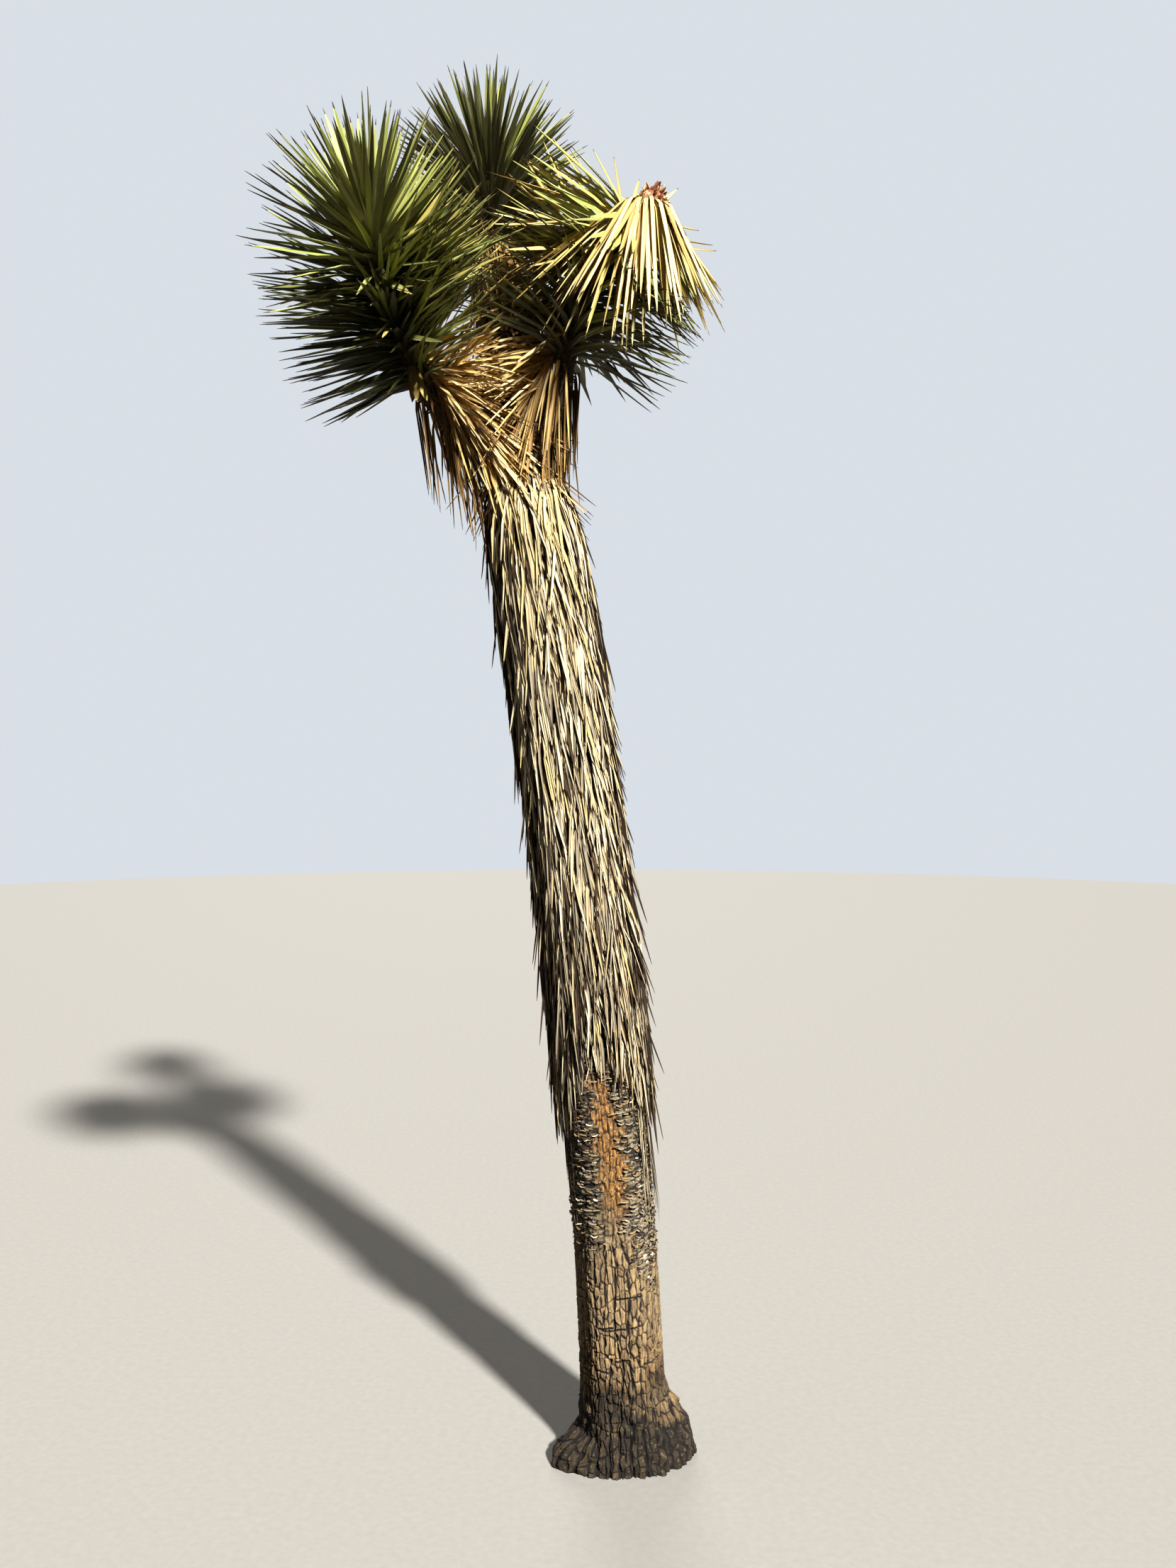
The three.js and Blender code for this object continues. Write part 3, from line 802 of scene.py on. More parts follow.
# %% [markdown]
# ## Blades
# Every leaf on this tree is a blade: a long dagger, hollow above and keeled below, that ends in a spine.
# Blades differ in how they bend, how wide they are and what colour their faces, edges and tips have. One
# function grows the middle lines of any number of blades, and one sweeps a section along them into a closed
# mesh. Each face has one nearly plain colour, because a pattern would blur when it is baked on such thin
# parts.

# %% Functions that grow and sweep blades
GOLDEN_ANGLE = math.radians(137.508)
# how far the fibres shift from one blade to the next, and their scale along a blade
FIBRE_SHIFT_ACROSS = 0.377
FIBRE_SHIFT_ALONG = 0.619
FIBRE_SCALE_ALONG = 4


@dataclass
class BladeKind:
    """What the blades of one kind share. Stations are shares of the length, and shape and depths give the
    width and the depth there. A coat names the material of each side of the section, and the tip may have its
    own."""

    slot: str
    materials: list
    coats: list
    section: np.ndarray
    stations: np.ndarray
    shape: np.ndarray
    depths: np.ndarray
    tip: int = None

    def paints(self, tints):
        """The material of each blade, of each stretch of its length and side of its section."""
        paints = np.array(self.coats)[tints][:, None, :].repeat(len(self.stations) - 1, axis=1)
        if self.tip is not None:
            paints[:, -1, :] = self.tip
        return paints


def grow(roots, start, finish, lengths, stations, bend):
    """Middle lines of blades. Each leaves its root along start, and turns to finish between the two shares of
    its length that bend gives."""
    middles = (stations[1:] + stations[:-1]) / 2
    share = smooth_step(bend[0], bend[1], middles)[None, :, None]
    ways = unit(start[:, None, :] * (1 - share) + finish[:, None, :] * share)
    steps = ways * (lengths[:, None] * np.diff(stations)[None, :])[..., None]
    first = roots[:, None, :]
    return np.concatenate([first, first + np.cumsum(steps, axis=1)], axis=1)


def sweep(name, kind, paths, sides, widths, twist, tints, *nodes):
    """Closed blades: the section of their kind swept along each path. The section's x is across the blade,
    from -1 to 1, and its y is in depths. Twist is the turn from root to tip, and a tint chooses the coat."""
    count, stations, _ = paths.shape
    section = kind.section
    corners = len(section)
    along = unit(np.gradient(paths, axis=1))
    across = unit(sides[:, None, :] - np.sum(sides[:, None, :] * along, axis=-1, keepdims=True) * along)
    normal = np.cross(across, along)
    x = section[:, 0] * (widths[:, None] * kind.shape[None, :])[..., None] / 2
    y = section[:, 1] * kind.depths[:, None]
    turn = (twist[:, None] * np.linspace(0, 1, stations)[None, :])[..., None]
    x_turned = x * np.cos(turn) - y * np.sin(turn)
    y_turned = x * np.sin(turn) + y * np.cos(turn)
    rings = paths[:, :, None, :] + across[:, :, None, :] * x_turned[..., None]
    rings = rings + normal[:, :, None, :] * y_turned[..., None]
    blade, station, corner = np.meshgrid(
        np.arange(count), np.arange(stations - 1), np.arange(corners), indexing="ij"
    )
    here = (blade * stations + station) * corners
    above = here + corners
    beside = (corner + 1) % corners
    quads = np.stack([here + corner, here + beside, above + beside, above + corner], axis=-1)
    first = np.arange(count)[:, None] * stations * corners
    root_end = first + np.arange(corners)[None, ::-1]
    tip_end = first + (stations - 1) * corners + np.arange(corners)[None, :]
    paints = kind.paints(tints)
    groups = [
        (quads.reshape(-1, 4), paints.reshape(-1)),
        (root_end, paints[:, 0, -1]),
        (tip_end, paints[:, -1, -1]),
    ]
    stretches = np.linalg.norm(np.diff(paths, axis=1, prepend=paths[:, :1]), axis=-1)
    reach = np.cumsum(stretches, axis=1)[..., None]
    number = np.arange(count)[:, None, None]
    u = (section[:, 0] + 1) / 2 + number * FIBRE_SHIFT_ACROSS + 0 * reach
    v = reach * FIBRE_SCALE_ALONG + number * FIBRE_SHIFT_ALONG + 0 * section[:, 0]
    uv = np.stack([u, v], axis=-1).reshape(-1, 2)
    dress(make_mesh(name, rings.reshape(-1, 3), groups, kind.materials, uv=uv), kind.slot, *nodes)


def rolled(sides, directions, roll):
    """Sides of blades, rolled about their direction."""
    return sides * np.cos(roll)[:, None] + np.cross(directions, sides) * np.sin(roll)[:, None]


def swing(draw, most, count):
    """Angles drawn evenly between most degrees to either side, in radians."""
    return np.radians(draw.uniform(-most, most, count))


def deal(draw, count, weights):
    """A tint for each blade, dealt out at random by weight."""
    return draw.choice(len(weights), size=count, p=np.array(weights) / sum(weights))


def deal_by_odds(draw, *odds):
    """A tint for each blade, where each tint has its own odds for every blade."""
    odds = np.stack(odds, axis=-1)
    reach = np.cumsum(odds / odds.sum(axis=1, keepdims=True), axis=1)
    return np.sum(draw.uniform(0, 1, len(odds))[:, None] > reach, axis=1).clip(0, odds.shape[1] - 1)


# %% [markdown]
# ## Finishes of the leaves
# A live leaf is waxy and olive green with a pale edge and a brown spine. Wilted leaves are pale yellow with
# orange-brown edges. Dead leaves go from golden straw to grey. Each finish has one plain colour with fine
# fibres that run along the blade.

# %% Leaf materials
def leaf_finish(name, code, roughness, contrast=0.16):
    finish = Finish(name, roughness)
    along = finish.node("ShaderNodeUVMap", {"uv_map": "blade"}, {}).outputs["UV"]
    fibres = finish.noise(finish.stretched(along, (9.0, 1.2, 1.0)), 3.0, 3.0)
    cloudy = finish.noise(finish.own_place(), 24.0, 1.0)
    plain = np.array(colour(code))
    low = tuple((plain[:3] * (1 - contrast)).tolist()) + (1.0,)
    high = tuple((plain[:3] * (1 + contrast)).tolist()) + (1.0,)
    finish.set_colour(finish.mix((fibres * 1.4 + cloudy * 0.8 - 0.6).clamped(), low, high))
    finish.set_bump(fibres, 0.25, 0.0006)
    return finish.material


LEAF_LENGTH = 0.282
LEAF_WIDTH = 0.0157
LEAF_DEPTH = 0.0042
LIVE_SHAPE = np.array([1.0, 0.92, 1.0, 0.80, 0.46, 0.17, 0.03])
YELLOW_GREEN = 0
DARK_BACK = 5
LIVE = BladeKind(
    slot="live_leaf",
    materials=[
        leaf_finish("live_yellow_green", "#b4b765", 0.45),
        leaf_finish("live_green", "#9ba254", 0.42),
        leaf_finish("live_olive", "#777b40", 0.45),
        leaf_finish("live_margin", "#d6cf97", 0.5),
        leaf_finish("live_back", "#87884a", 0.48),
        leaf_finish("live_spine", "#3e281c", 0.5),
        leaf_finish("live_back_olive", "#514f26", 0.5),
        leaf_finish("live_yellowed", "#c2b060", 0.5),
        # live_dark is painted shade: the shade that the upper leaves cast on the low, old ones
        leaf_finish("live_dark", "#3f4324", 0.5),
    ],
    # each coat paints edge, face, edge and the two sides of the keel. The dark olive backs are painted shade,
    # and so is the darker keel side of the first two coats
    coats=[
        (3, 0, 3, 0, 1),
        (3, 1, 3, 4, 6),
        (2, 2, 2, 6, 6),
        (2, 8, 2, 6, 6),
        (3, 7, 3, 1, 1),
        (3, 0, 3, 6, 6),
    ],
    section=np.array([(-1.0, 0.0), (-0.84, -0.06), (0.84, -0.06), (1.0, 0.0), (0.0, -1.0)]),
    stations=np.array([0.0, 0.13, 0.34, 0.6, 0.82, 0.945, 1.0]),
    shape=LIVE_SHAPE,
    depths=LEAF_DEPTH * np.sqrt(LIVE_SHAPE),
    tip=5,
)

# %% [markdown]
# ## Heads of live leaves
# Leaves come off a stem at the golden angle to each other, so none stands right over another. The youngest
# stand together at the bud, and with age they open to about a right angle. That single rule makes the round
# head, and the three heads differ in their numbers only. The right-hand one has lost its bud, so even its
# youngest leaves stand out at about a right angle.

# %% Grow the heads
BUD_MARGIN = 0.006
BASE_MARGIN = 0.014
# young and old: how far the youngest and the oldest leaves open, in degrees. flare: below 1, they open early
# low_side: how much wider leaves under a leaning stem open, in degrees. sag: how far old leaves bend down
# size, young_size and old_size: lengths as shares of a full leaf. shade: how soon leaves take old colours and
# the dark tint that is painted shade
# bare: share of the low leaves that are missing towards the fork
# dark_backs: share of the yellow-green leaves whose backs are dark olive, as painted shade
HEADS = {
    "left": {
        "count": 540, "seed": 111, "young": 5, "old": 88, "flare": 0.44, "low_side": 32, "sag": 0.03,
        "size": 0.97, "young_size": 0.86, "old_size": 0.9, "shade": 0.65, "bare": 0.75, "dark_backs": 0.5,
    },
    "middle": {
        "count": 350, "seed": 112, "young": 5, "old": 104, "flare": 0.62, "low_side": 0, "sag": 0.12,
        "size": 0.95, "young_size": 1.0, "old_size": 0.96, "shade": 0.7, "bare": 0.0, "dark_backs": 0.25,
    },
    "right": {
        "count": 290, "seed": 113, "young": 102, "old": 92, "flare": 0.62, "low_side": 0, "sag": 0.06,
        "size": 0.95, "young_size": 1.0, "old_size": 0.96, "shade": 0.0, "bare": 0.0, "dark_backs": 0.25,
    },
}
FORK_SIDE = np.array([0.77, -0.64, 0.0])


def live_tints(draw, age):
    """Young leaves are mostly yellow green. The oldest, low on the stem, are mostly olive and dark: partly
    their own age and partly painted shade.
    """
    return deal_by_odds(
        draw, 1.6 - 1.5 * age, 1.0 - 0.7 * age, 0.1 + 1.3 * age, 3.6 * age**2, 0.04 + 0.08 * age
    )


def live_leaves(name, side, share, angle, opening, lengths, width, age, sag, tints, stem_radius, draw):
    """Dagger leaves on a stem: each one leaves it at its own angle round it and opening from it."""
    arm = arms[side]
    count = len(share)
    axis = arm.along(share)
    outward = arm.outward(share, angle)
    direction = axis * np.cos(opening)[:, None] + outward * np.sin(opening)[:, None]
    sides = rolled(np.cross(outward, axis), direction, swing(draw, 28, count))
    roots = arm.at(share) + outward * (stem_radius * 0.5)[:, None]
    start = unit(direction + axis * 0.30)
    droop = DOWN[None, :] * (sag * 2 * age * draw.uniform(0, 1, count))[:, None]
    finish = unit(direction + outward * 0.05 + droop)
    paths = grow(roots, start, finish, lengths, LIVE.stations, (0.0, 0.5))
    widths = width * draw.uniform(0.86, 1.12, count)
    sweep(name, LIVE, paths, sides, widths, swing(draw, 14, count), tints, f"head_{side}")


def head(
    side, count, seed, young, old, flare, low_side, sag, size, young_size, old_size, shade, bare, dark_backs
):
    """The leaves of one head, from the bud down to the base of the stem. The numbers are those of HEADS."""
    arm = arms[side]
    draw = np.random.default_rng(seed)
    top = stem_end(side)
    number = np.arange(count)
    age = (number + 0.5) / count
    share = blend(top - BUD_MARGIN / arm.length, arm.base + BASE_MARGIN / arm.length, age)
    angle = number * GOLDEN_ANGLE + swing(draw, 8, count)
    facing_fork = smooth_step(-0.3, 0.4, arm.outward(share, angle) @ FORK_SIDE)
    kept = draw.uniform(0, 1, count) > bare * smooth_step(0.55, 0.75, age) * facing_fork
    age, share, angle = age[kept], share[kept], angle[kept]
    count = len(age)
    tilt = np.sqrt(1 - (arm.along(share) @ UP) ** 2)
    under = smooth_step(0.0, 0.8, arm.outward(share, angle) @ DOWN / tilt)
    droops = smooth_step(0.02, 0.24, age) * (1 - 1.35 * smooth_step(0.3, 0.62, age))
    opening = blend(young, old, age**flare) + low_side * under * droops
    opening = np.radians(opening + draw.uniform(-7, 7, count))
    lengths = size * LEAF_LENGTH * draw.uniform(0.86, 1.06, count) * blend(1.0, old_size, age)
    lengths = lengths * blend(young_size, 1.0, smooth_step(0, 0.16, age))
    stem_radius = blend(STEM_RADII[1], STEM_RADII[0], (top - share) / (top - arm.base))
    width = LEAF_WIDTH * blend(1.0, 0.82, age)
    # leaves take olive and dark tints sooner where shade is higher: partly their age, partly painted shade
    tints = live_tints(draw, np.minimum(age * (1 + shade), 1))
    # painted shade: some yellow-green leaves take the coat with dark olive backs
    darkened = (tints == YELLOW_GREEN) & (draw.uniform(0, 1, count) < dark_backs)
    tints = np.where(darkened, DARK_BACK, tints)
    live_leaves(
        f"leaves_{side}", side, share, angle, opening, lengths, width, age, sag, tints, stem_radius, draw
    )


for side, numbers in HEADS.items():
    head(side, **numbers)

# %% [markdown]
# ## Long leaves between the heads
# On the side that faces the other heads, the left-hand stem carries longer and thinner leaves that reach up
# towards the light between them. They open less than their neighbours on the outer side do.

# %% Grow the long inner leaves
INNER_COUNT = 180
INNER_SEED = 118
INNER_TINTS = (2, 1.5, 1.5, 1, 4)
INNER_MIDDLE = math.radians(-14)
INNER_HALF_TURN = math.radians(84)
INNER_OPENINGS = (42, 80)
INNER_LENGTHS = (0.92, 1.18)
INNER_AGES = (0.1, 0.9)
INNER_WIDTH = LEAF_WIDTH * 0.8
INNER_SAG = 0.03


def inner_leaves():
    side = "left"
    base = arms[side].base
    draw = np.random.default_rng(INNER_SEED)
    share = draw.uniform(base + 0.05, base + 0.66 * (1 - base), INNER_COUNT)
    angle = INNER_MIDDLE + draw.uniform(-1, 1, INNER_COUNT) * INNER_HALF_TURN
    opening = np.radians(draw.uniform(*INNER_OPENINGS, INNER_COUNT))
    lengths = LEAF_LENGTH * draw.uniform(*INNER_LENGTHS, INNER_COUNT)
    age = draw.uniform(*INNER_AGES, INNER_COUNT)
    stem_radius = np.full(INNER_COUNT, STEM_RADII[0])
    tints = deal(draw, INNER_COUNT, INNER_TINTS)
    live_leaves(
        "leaves_left_inner", side, share, angle, opening, lengths, INNER_WIDTH, age, INNER_SAG, tints,
        stem_radius, draw,
    )


inner_leaves()

# %% [markdown]
# ## The wilted top
# The bud of the right-hand head is gone. What is left is a torn, pinkish-brown knob, and the broad soft
# leaves round it have folded over and hang like a mop. They fold close to the knob: each blade turns from
# its way out to its way down in the first quarter of its length.

# %% Grow the wilted leaves
WILTED_SHAPE = np.array([0.75, 0.85, 0.9, 0.95, 1.0, 1.0, 0.88, 0.55, 0.17, 0.03])
WILTED_DEPTH = 0.0028
WILTED = BladeKind(
    slot="wilted_leaf",
    materials=[
        leaf_finish("wilted_pale", "#ebdc9a", 0.55, 0.12),
        leaf_finish("wilted_yellow", "#d6c473", 0.55, 0.12),
        leaf_finish("wilted_edge", "#9a6a34", 0.6),
        leaf_finish("wilted_back", "#a78f4c", 0.6),
        leaf_finish("wilted_tip", "#603617", 0.6),
        leaf_finish("wilted_tan", "#c0a562", 0.6),
    ],
    coats=[(2, 0, 0, 2, 3, 3), (2, 1, 1, 2, 3, 3), (2, 5, 5, 2, 3, 3)],
    section=np.array([(-1.0, 0.1), (-0.84, -0.05), (0.0, -0.45), (0.84, -0.05), (1.0, 0.1), (0.0, -1.0)]),
    stations=np.array([0.0, 0.06, 0.12, 0.19, 0.28, 0.45, 0.68, 0.87, 0.965, 1.0]),
    shape=WILTED_SHAPE,
    depths=WILTED_DEPTH * np.sqrt(WILTED_SHAPE),
    tip=4,
)
WILTED_BEND = (0.02, 0.26)
MOP_COUNT = 165
MOP_SEED = 114
MOP_TINTS = (5, 4, 1.5)
# heading where the blades of the mop stand closest together, and by how many degrees they are drawn to it
MOP_CROWDED_AT = 232
MOP_CROWDING = 36
MOP_DEPTH = 0.040
MOP_ROOT_RADIUS = 0.012
MOP_LIFT = 0.1
MOP_LEAF_WIDTH = 0.0108
# how far below level the blades hang on each side, as pairs of heading and angle in degrees
MOP_DIPS = (
    (-180, -44),
    (-135, -54),
    (-90, -78),
    (-45, -74),
    (0, -64),
    (45, -46),
    (80, -26),
    (120, -12),
    (180, -40),
)
MOP_DIP_JITTER = 17


def wilted_blades(name, roots, start, finish, lengths, widths, facing, tints, draw, node):
    """Broad yellow blades with brown edges. They grow from given roots, with their upper sides to facing."""
    count = len(roots)
    paths = grow(roots, start, finish, lengths, WILTED.stations, WILTED_BEND)
    sides = rolled(unit(np.cross(finish, facing)), finish, swing(draw, 24, count))
    dealt = deal(draw, count, tints)
    sweep(name, WILTED, paths, sides, widths, swing(draw, 22, count), dealt, node)


def mop():
    """The leaves that hang from the torn knob on all sides, and furthest down at the front."""
    arm = arms["right"]
    draw = np.random.default_rng(MOP_SEED)
    centre, axis = arm.at(np.array(1.0)), arm.along(np.array(1.0))
    even = np.arange(MOP_COUNT) * math.degrees(GOLDEN_ANGLE) + draw.uniform(0, 16, MOP_COUNT)
    turn = np.radians(MOP_CROWDED_AT + even - MOP_CROWDING * np.sin(np.radians(even)))
    around, dips = zip(*MOP_DIPS)
    dip = np.interp(wrapped_degrees(turn, 0), around, dips)
    dip = np.radians(dip + draw.uniform(-1, 1, MOP_COUNT) * MOP_DIP_JITTER)
    outward = heading(turn)
    hang = outward * np.cos(dip)[:, None] + UP * np.sin(dip)[:, None]
    fold = unit(outward + axis * MOP_LIFT + hang * 0.2 + UP * 0.1)
    deep = (MOP_DEPTH * draw.uniform(0.3, 1, MOP_COUNT))[:, None]
    roots = centre - axis * deep + outward * MOP_ROOT_RADIUS
    to_the_right = smooth_step(-0.2, 1.0, np.cos(turn))
    lengths = LEAF_LENGTH * draw.uniform(0.95, 1.48, MOP_COUNT) * blend(1.0, 0.76, to_the_right)
    widths = MOP_LEAF_WIDTH * draw.uniform(0.8, 1.12, MOP_COUNT)
    facing = unit(outward + UP * 0.6)
    wilted_blades(
        "leaves_wilted", roots, fold, hang, lengths, widths, facing, MOP_TINTS, draw, "head_right_wilted"
    )


mop()

# %% [markdown]
# ## Yellowed leaves and the torn knob
# Just under the wilted top, leaves that are half dead point to the left. A few stand up behind the knob,
# three reach out under the mop to the right, and three more hang broken under the left-hand head. They
# don't follow the golden angle any more, so they are aimed at the few places where their tips are. The knob
# is what is left of the bud: a lump of torn, pinkish-brown leaf bases.

# %% Aim the yellowed leaves and make the knob
TIPS_TO_THE_LEFT = (
    (-0.256, -0.06, 2.740),
    (-0.264, -0.02, 2.679),
    (-0.259, -0.10, 2.634),
    (-0.258, -0.04, 2.602),
    (-0.228, -0.12, 2.540),
    (-0.221, -0.05, 2.574),
    (-0.225, 0.02, 2.805),
    (-0.189, 0.06, 2.862),
    (-0.150, 0.08, 2.895),
    (-0.212, 0.10, 2.770),
)
# the last three of these reach out under the mop to the right
TIPS_THAT_STAND = (
    (-0.066, 0.02, 2.858),
    (-0.031, 0.03, 2.848),
    (0.032, 0.05, 2.812),
    (0.046, 0.02, 2.788),
    (0.089, 0.03, 2.788),
    (0.117, 0.00, 2.780),
    (-0.120, 0.06, 2.850),
    (0.181, -0.05, 2.625),
    (0.198, -0.06, 2.600),
    (0.150, -0.10, 2.640),
)
TIPS_THAT_HANG_BROKEN = ((-0.424, -0.150, 2.262), (-0.408, -0.140, 2.268), (-0.440, -0.120, 2.275))
# arm, shares of it where leaves root, tips, leaves for each tip, scatter of the tips, width and seed
AIMED = {
    "leaves_right_yellowed": ("right", (0.72, 0.93), TIPS_TO_THE_LEFT, 5, 0.026, 0.0115, 121),
    "leaves_right_standing": ("right", (0.84, 0.97), TIPS_THAT_STAND, 1, 0.004, 0.0120, 122),
    "leaves_left_broken": ("left", (0.56, 0.58), TIPS_THAT_HANG_BROKEN, 1, 0.003, 0.020, 123),
}
AIMED_TINTS = (1.5, 5, 3)
AIMED_ROOT_RADIUS = 0.010
TO_THE_FRONT = np.array([0.35, -0.65, 0.65])


def aimed_leaves(name, side, shares, tips, copies, scatter, width, seed):
    """Half-dead leaves that end at given tips and turn their upper sides to the front."""
    arm = arms[side]
    draw = np.random.default_rng(seed)
    tips = np.repeat(np.array(tips), copies, axis=0)
    tips = tips + draw.normal(0, scatter, tips.shape)
    share = draw.uniform(*shares, len(tips))
    middle = arm.at(share)
    away = tips - middle
    axis = arm.along(share)
    outward = unit(away - np.sum(away * axis, axis=1, keepdims=True) * axis)
    roots = middle + outward * AIMED_ROOT_RADIUS
    way = unit(tips - roots)
    start = unit(way + axis * 0.25)
    lengths = np.linalg.norm(tips - roots, axis=1)
    widths = width * draw.uniform(0.8, 1.1, len(tips))
    wilted_blades(name, roots, start, way, lengths, widths, TO_THE_FRONT, AIMED_TINTS, draw, f"head_{side}")


for name, numbers in AIMED.items():
    aimed_leaves(name, *numbers)

KNOB_RADIUS = 0.022
KNOB_RISE = 0.002
KNOB_POLE = 0.12
KNOB_ROWS = 60
KNOB_COLUMNS = 96
FLAP_COUNT = 70
FLAP_SEED = 83
FLAP_TINTS = (2, 3, 2)
FLAP_LENGTHS = (0.012, 0.026)
FLAP_WIDTHS = (0.005, 0.012)
FLAP_DEPTH = 0.0022
FLAP_SHAPE = np.array([1.0, 1.0, 0.7, 0.25])
FLAP = BladeKind(
    slot="wilted_leaf",
    materials=[
        leaf_finish("flap_pink", "#b98165", 0.85),
        leaf_finish("flap_brown", "#7a4630", 0.85),
        leaf_finish("flap_straw", "#d8bf8a", 0.85),
    ],
    coats=[(0, 0, 1), (1, 1, 2), (2, 2, 1)],
    section=np.array([(-1.0, 0.0), (1.0, 0.0), (0.0, -1.0)]),
    stations=np.array([0.0, 0.4, 0.75, 1.0]),
    shape=FLAP_SHAPE,
    depths=FLAP_DEPTH * FLAP_SHAPE,
)
# the stem between the last live leaves and the knob
NECK_ROWS = 24
NECK_RADII = (STEM_RADII[1], 0.013)
NECK_PLATE = (0.010, 0.009)
NECK_FURROW_DEPTH = 0.0025
NECK_SEED = 45


def torn_finish():
    finish = Finish("torn_knob", 0.9)
    place = finish.own_place()
    torn = finish.noise(place, 170.0, 4.0)
    pale = finish.noise(place, 90.0, 2.0)
    flesh = finish.mix((torn * 2.6 - 0.8).clamped(), colour("#6d3b27"), colour("#c08a6c"))
    finish.set_colour(finish.mix(pale.past(0.55, 8.0), flesh, colour("#dcc394")))
    finish.set_bump(torn, 0.8, 0.004)
    return finish.material


def knob():
    """A lump of torn leaf bases on the end of the stem."""
    arm = arms["right"]
    end, axis = arm.at(np.array(1.0)), arm.along(np.array(1.0))
    polar = np.linspace(KNOB_POLE, math.pi - KNOB_POLE, KNOB_ROWS)[:, None] + np.zeros(KNOB_COLUMNS)[None, :]
    angle = np.linspace(0, math.tau, KNOB_COLUMNS, endpoint=False)[None, :] + 0 * polar
    ragged = 0.16 * ripple(angle, polar, 81, turns=5, pitch=2.2)
    ragged = ragged + 0.13 * ripple(angle, polar, 82, turns=14, pitch=0.9)
    radius = KNOB_RADIUS * (1 + ragged)
    around = arm.outward(np.array(1.0), angle)
    ways = around * np.sin(polar)[..., None] - axis * np.cos(polar)[..., None]
    points = end + axis * KNOB_RISE + ways * radius[..., None]
    dress(limb_mesh("torn_knob", points, {}, torn_finish()), "wilted_leaf", "head_right_wilted")


def knob_flaps():
    """The ragged flaps that stick out of the knob."""
    arm = arms["right"]
    end, axis = arm.at(np.array(1.0)), arm.along(np.array(1.0))
    draw = np.random.default_rng(FLAP_SEED)
    ways = unit(draw.normal(0, 1, (FLAP_COUNT, 3)) + axis * 0.9)
    roots = end + ways * KNOB_RADIUS * 0.7
    lengths = draw.uniform(*FLAP_LENGTHS, FLAP_COUNT)
    bent = unit(ways + draw.normal(0, 0.5, (FLAP_COUNT, 3)))
    paths = grow(roots, ways, bent, lengths, FLAP.stations, (0.0, 0.9))
    sides = unit(np.cross(ways, draw.normal(0, 1, (FLAP_COUNT, 3))))
    widths = draw.uniform(*FLAP_WIDTHS, FLAP_COUNT)
    dealt = deal(draw, FLAP_COUNT, FLAP_TINTS)
    sweep("torn_flaps", FLAP, paths, sides, widths, swing(draw, 60, FLAP_COUNT), dealt, "head_right_wilted")


knob()
knob_flaps()
neck_shares = np.linspace(stem_end("right"), 1.0, NECK_ROWS)
arm_piece(
    "stem_right_top", arms["right"], neck_shares, NECK_RADII, NECK_PLATE, NECK_SEED, "head_right_wilted",
    depth=NECK_FURROW_DEPTH,
)

# %% [markdown]
# ## Dead leaves
# Old leaves fold back at their base, point down along the bough and stay for years. On the boughs they are
# still golden straw. On the trunk they have weathered to cream and grey and lie in many layers, like
# thatch.

# %% Materials of the dead leaves
DEAD_STATIONS = np.array([0.0, 0.07, 0.16, 0.40, 0.72, 0.93, 1.0])
DEAD_SHAPE = np.array([0.9, 0.95, 1.0, 1.0, 0.72, 0.26, 0.04])
DEAD_DEPTH = 0.0030
STRAW = BladeKind(
    slot="straw_leaf",
    materials=[
        leaf_finish("straw_gold", "#e2c079", 0.7),
        leaf_finish("straw_pale", "#e8d29a", 0.7),
        leaf_finish("straw_tan", "#b8925a", 0.75),
        leaf_finish("straw_back", "#664a22", 0.8),
        leaf_finish("straw_brown", "#93713a", 0.8),
        leaf_finish("straw_tip", "#3b2a18", 0.8),
    ],
    coats=[(0, 0, 2, 2), (1, 1, 0, 0), (2, 2, 4, 4), (4, 4, 3, 3)],
    section=np.array([(-1.0, 0.2), (0.0, -0.35), (1.0, 0.2), (0.0, -1.0)]),
    stations=DEAD_STATIONS,
    shape=DEAD_SHAPE,
    depths=DEAD_DEPTH * np.sqrt(DEAD_SHAPE),
    tip=5,
)
THATCH = BladeKind(
    slot="thatch_leaf",
    materials=[
        leaf_finish("thatch_cream", "#d8c8a5", 0.85),
        leaf_finish("thatch_sand", "#bfab84", 0.85),
        leaf_finish("thatch_grey", "#9a8d75", 0.9),
        leaf_finish("thatch_gold", "#d0b984", 0.8),
        # thatch_brown colours every tip, and on the blades deep in the coat it is painted shade; thatch_back
        # on the keels is painted shade too
        leaf_finish("thatch_brown", "#4a3720", 0.9),
        leaf_finish("thatch_back", "#3a2b1b", 0.9),
    ],
    coats=[(0, 0, 5, 5), (1, 1, 5, 5), (2, 2, 5, 5), (3, 3, 5, 5), (4, 4, 5, 5)],
    section=np.array([(-1.0, 0.25), (0.0, -0.35), (1.0, 0.25), (0.0, -1.0)]),
    stations=DEAD_STATIONS,
    shape=DEAD_SHAPE,
    depths=DEAD_DEPTH * np.sqrt(DEAD_SHAPE),
    tip=4,
)

# %% Grow the skirts
# count and seed, where on the bough it starts, how far blades stand off where they rest, and the mix of tints
SKIRTS = {
    "right": {"count": 760, "seed": 131, "start": 0.34, "splay": 0.62, "tints": (6, 4, 2, 1)},
    # the left skirt's mix leans to pale straw: painted light where the left head shades it
    "left": {"count": 860, "seed": 132, "start": 0.34, "splay": 1.05, "tints": (6, 8, 1, 0.4)},
    "middle": {"count": 560, "seed": 133, "start": 0.30, "splay": 0.16, "tints": (0.8, 0.2, 3, 7)},
}
DEAD_LENGTH = 0.250
SKIRT_LEAF_WIDTH = 0.0096
CURTAIN_SHARE = 0.12
# the curtain that hangs under a bough is dealt darker tints: painted shade under it
CURTAIN_TINTS = (1, 0, 3, 5)
SKIRT_HUG = 0.04


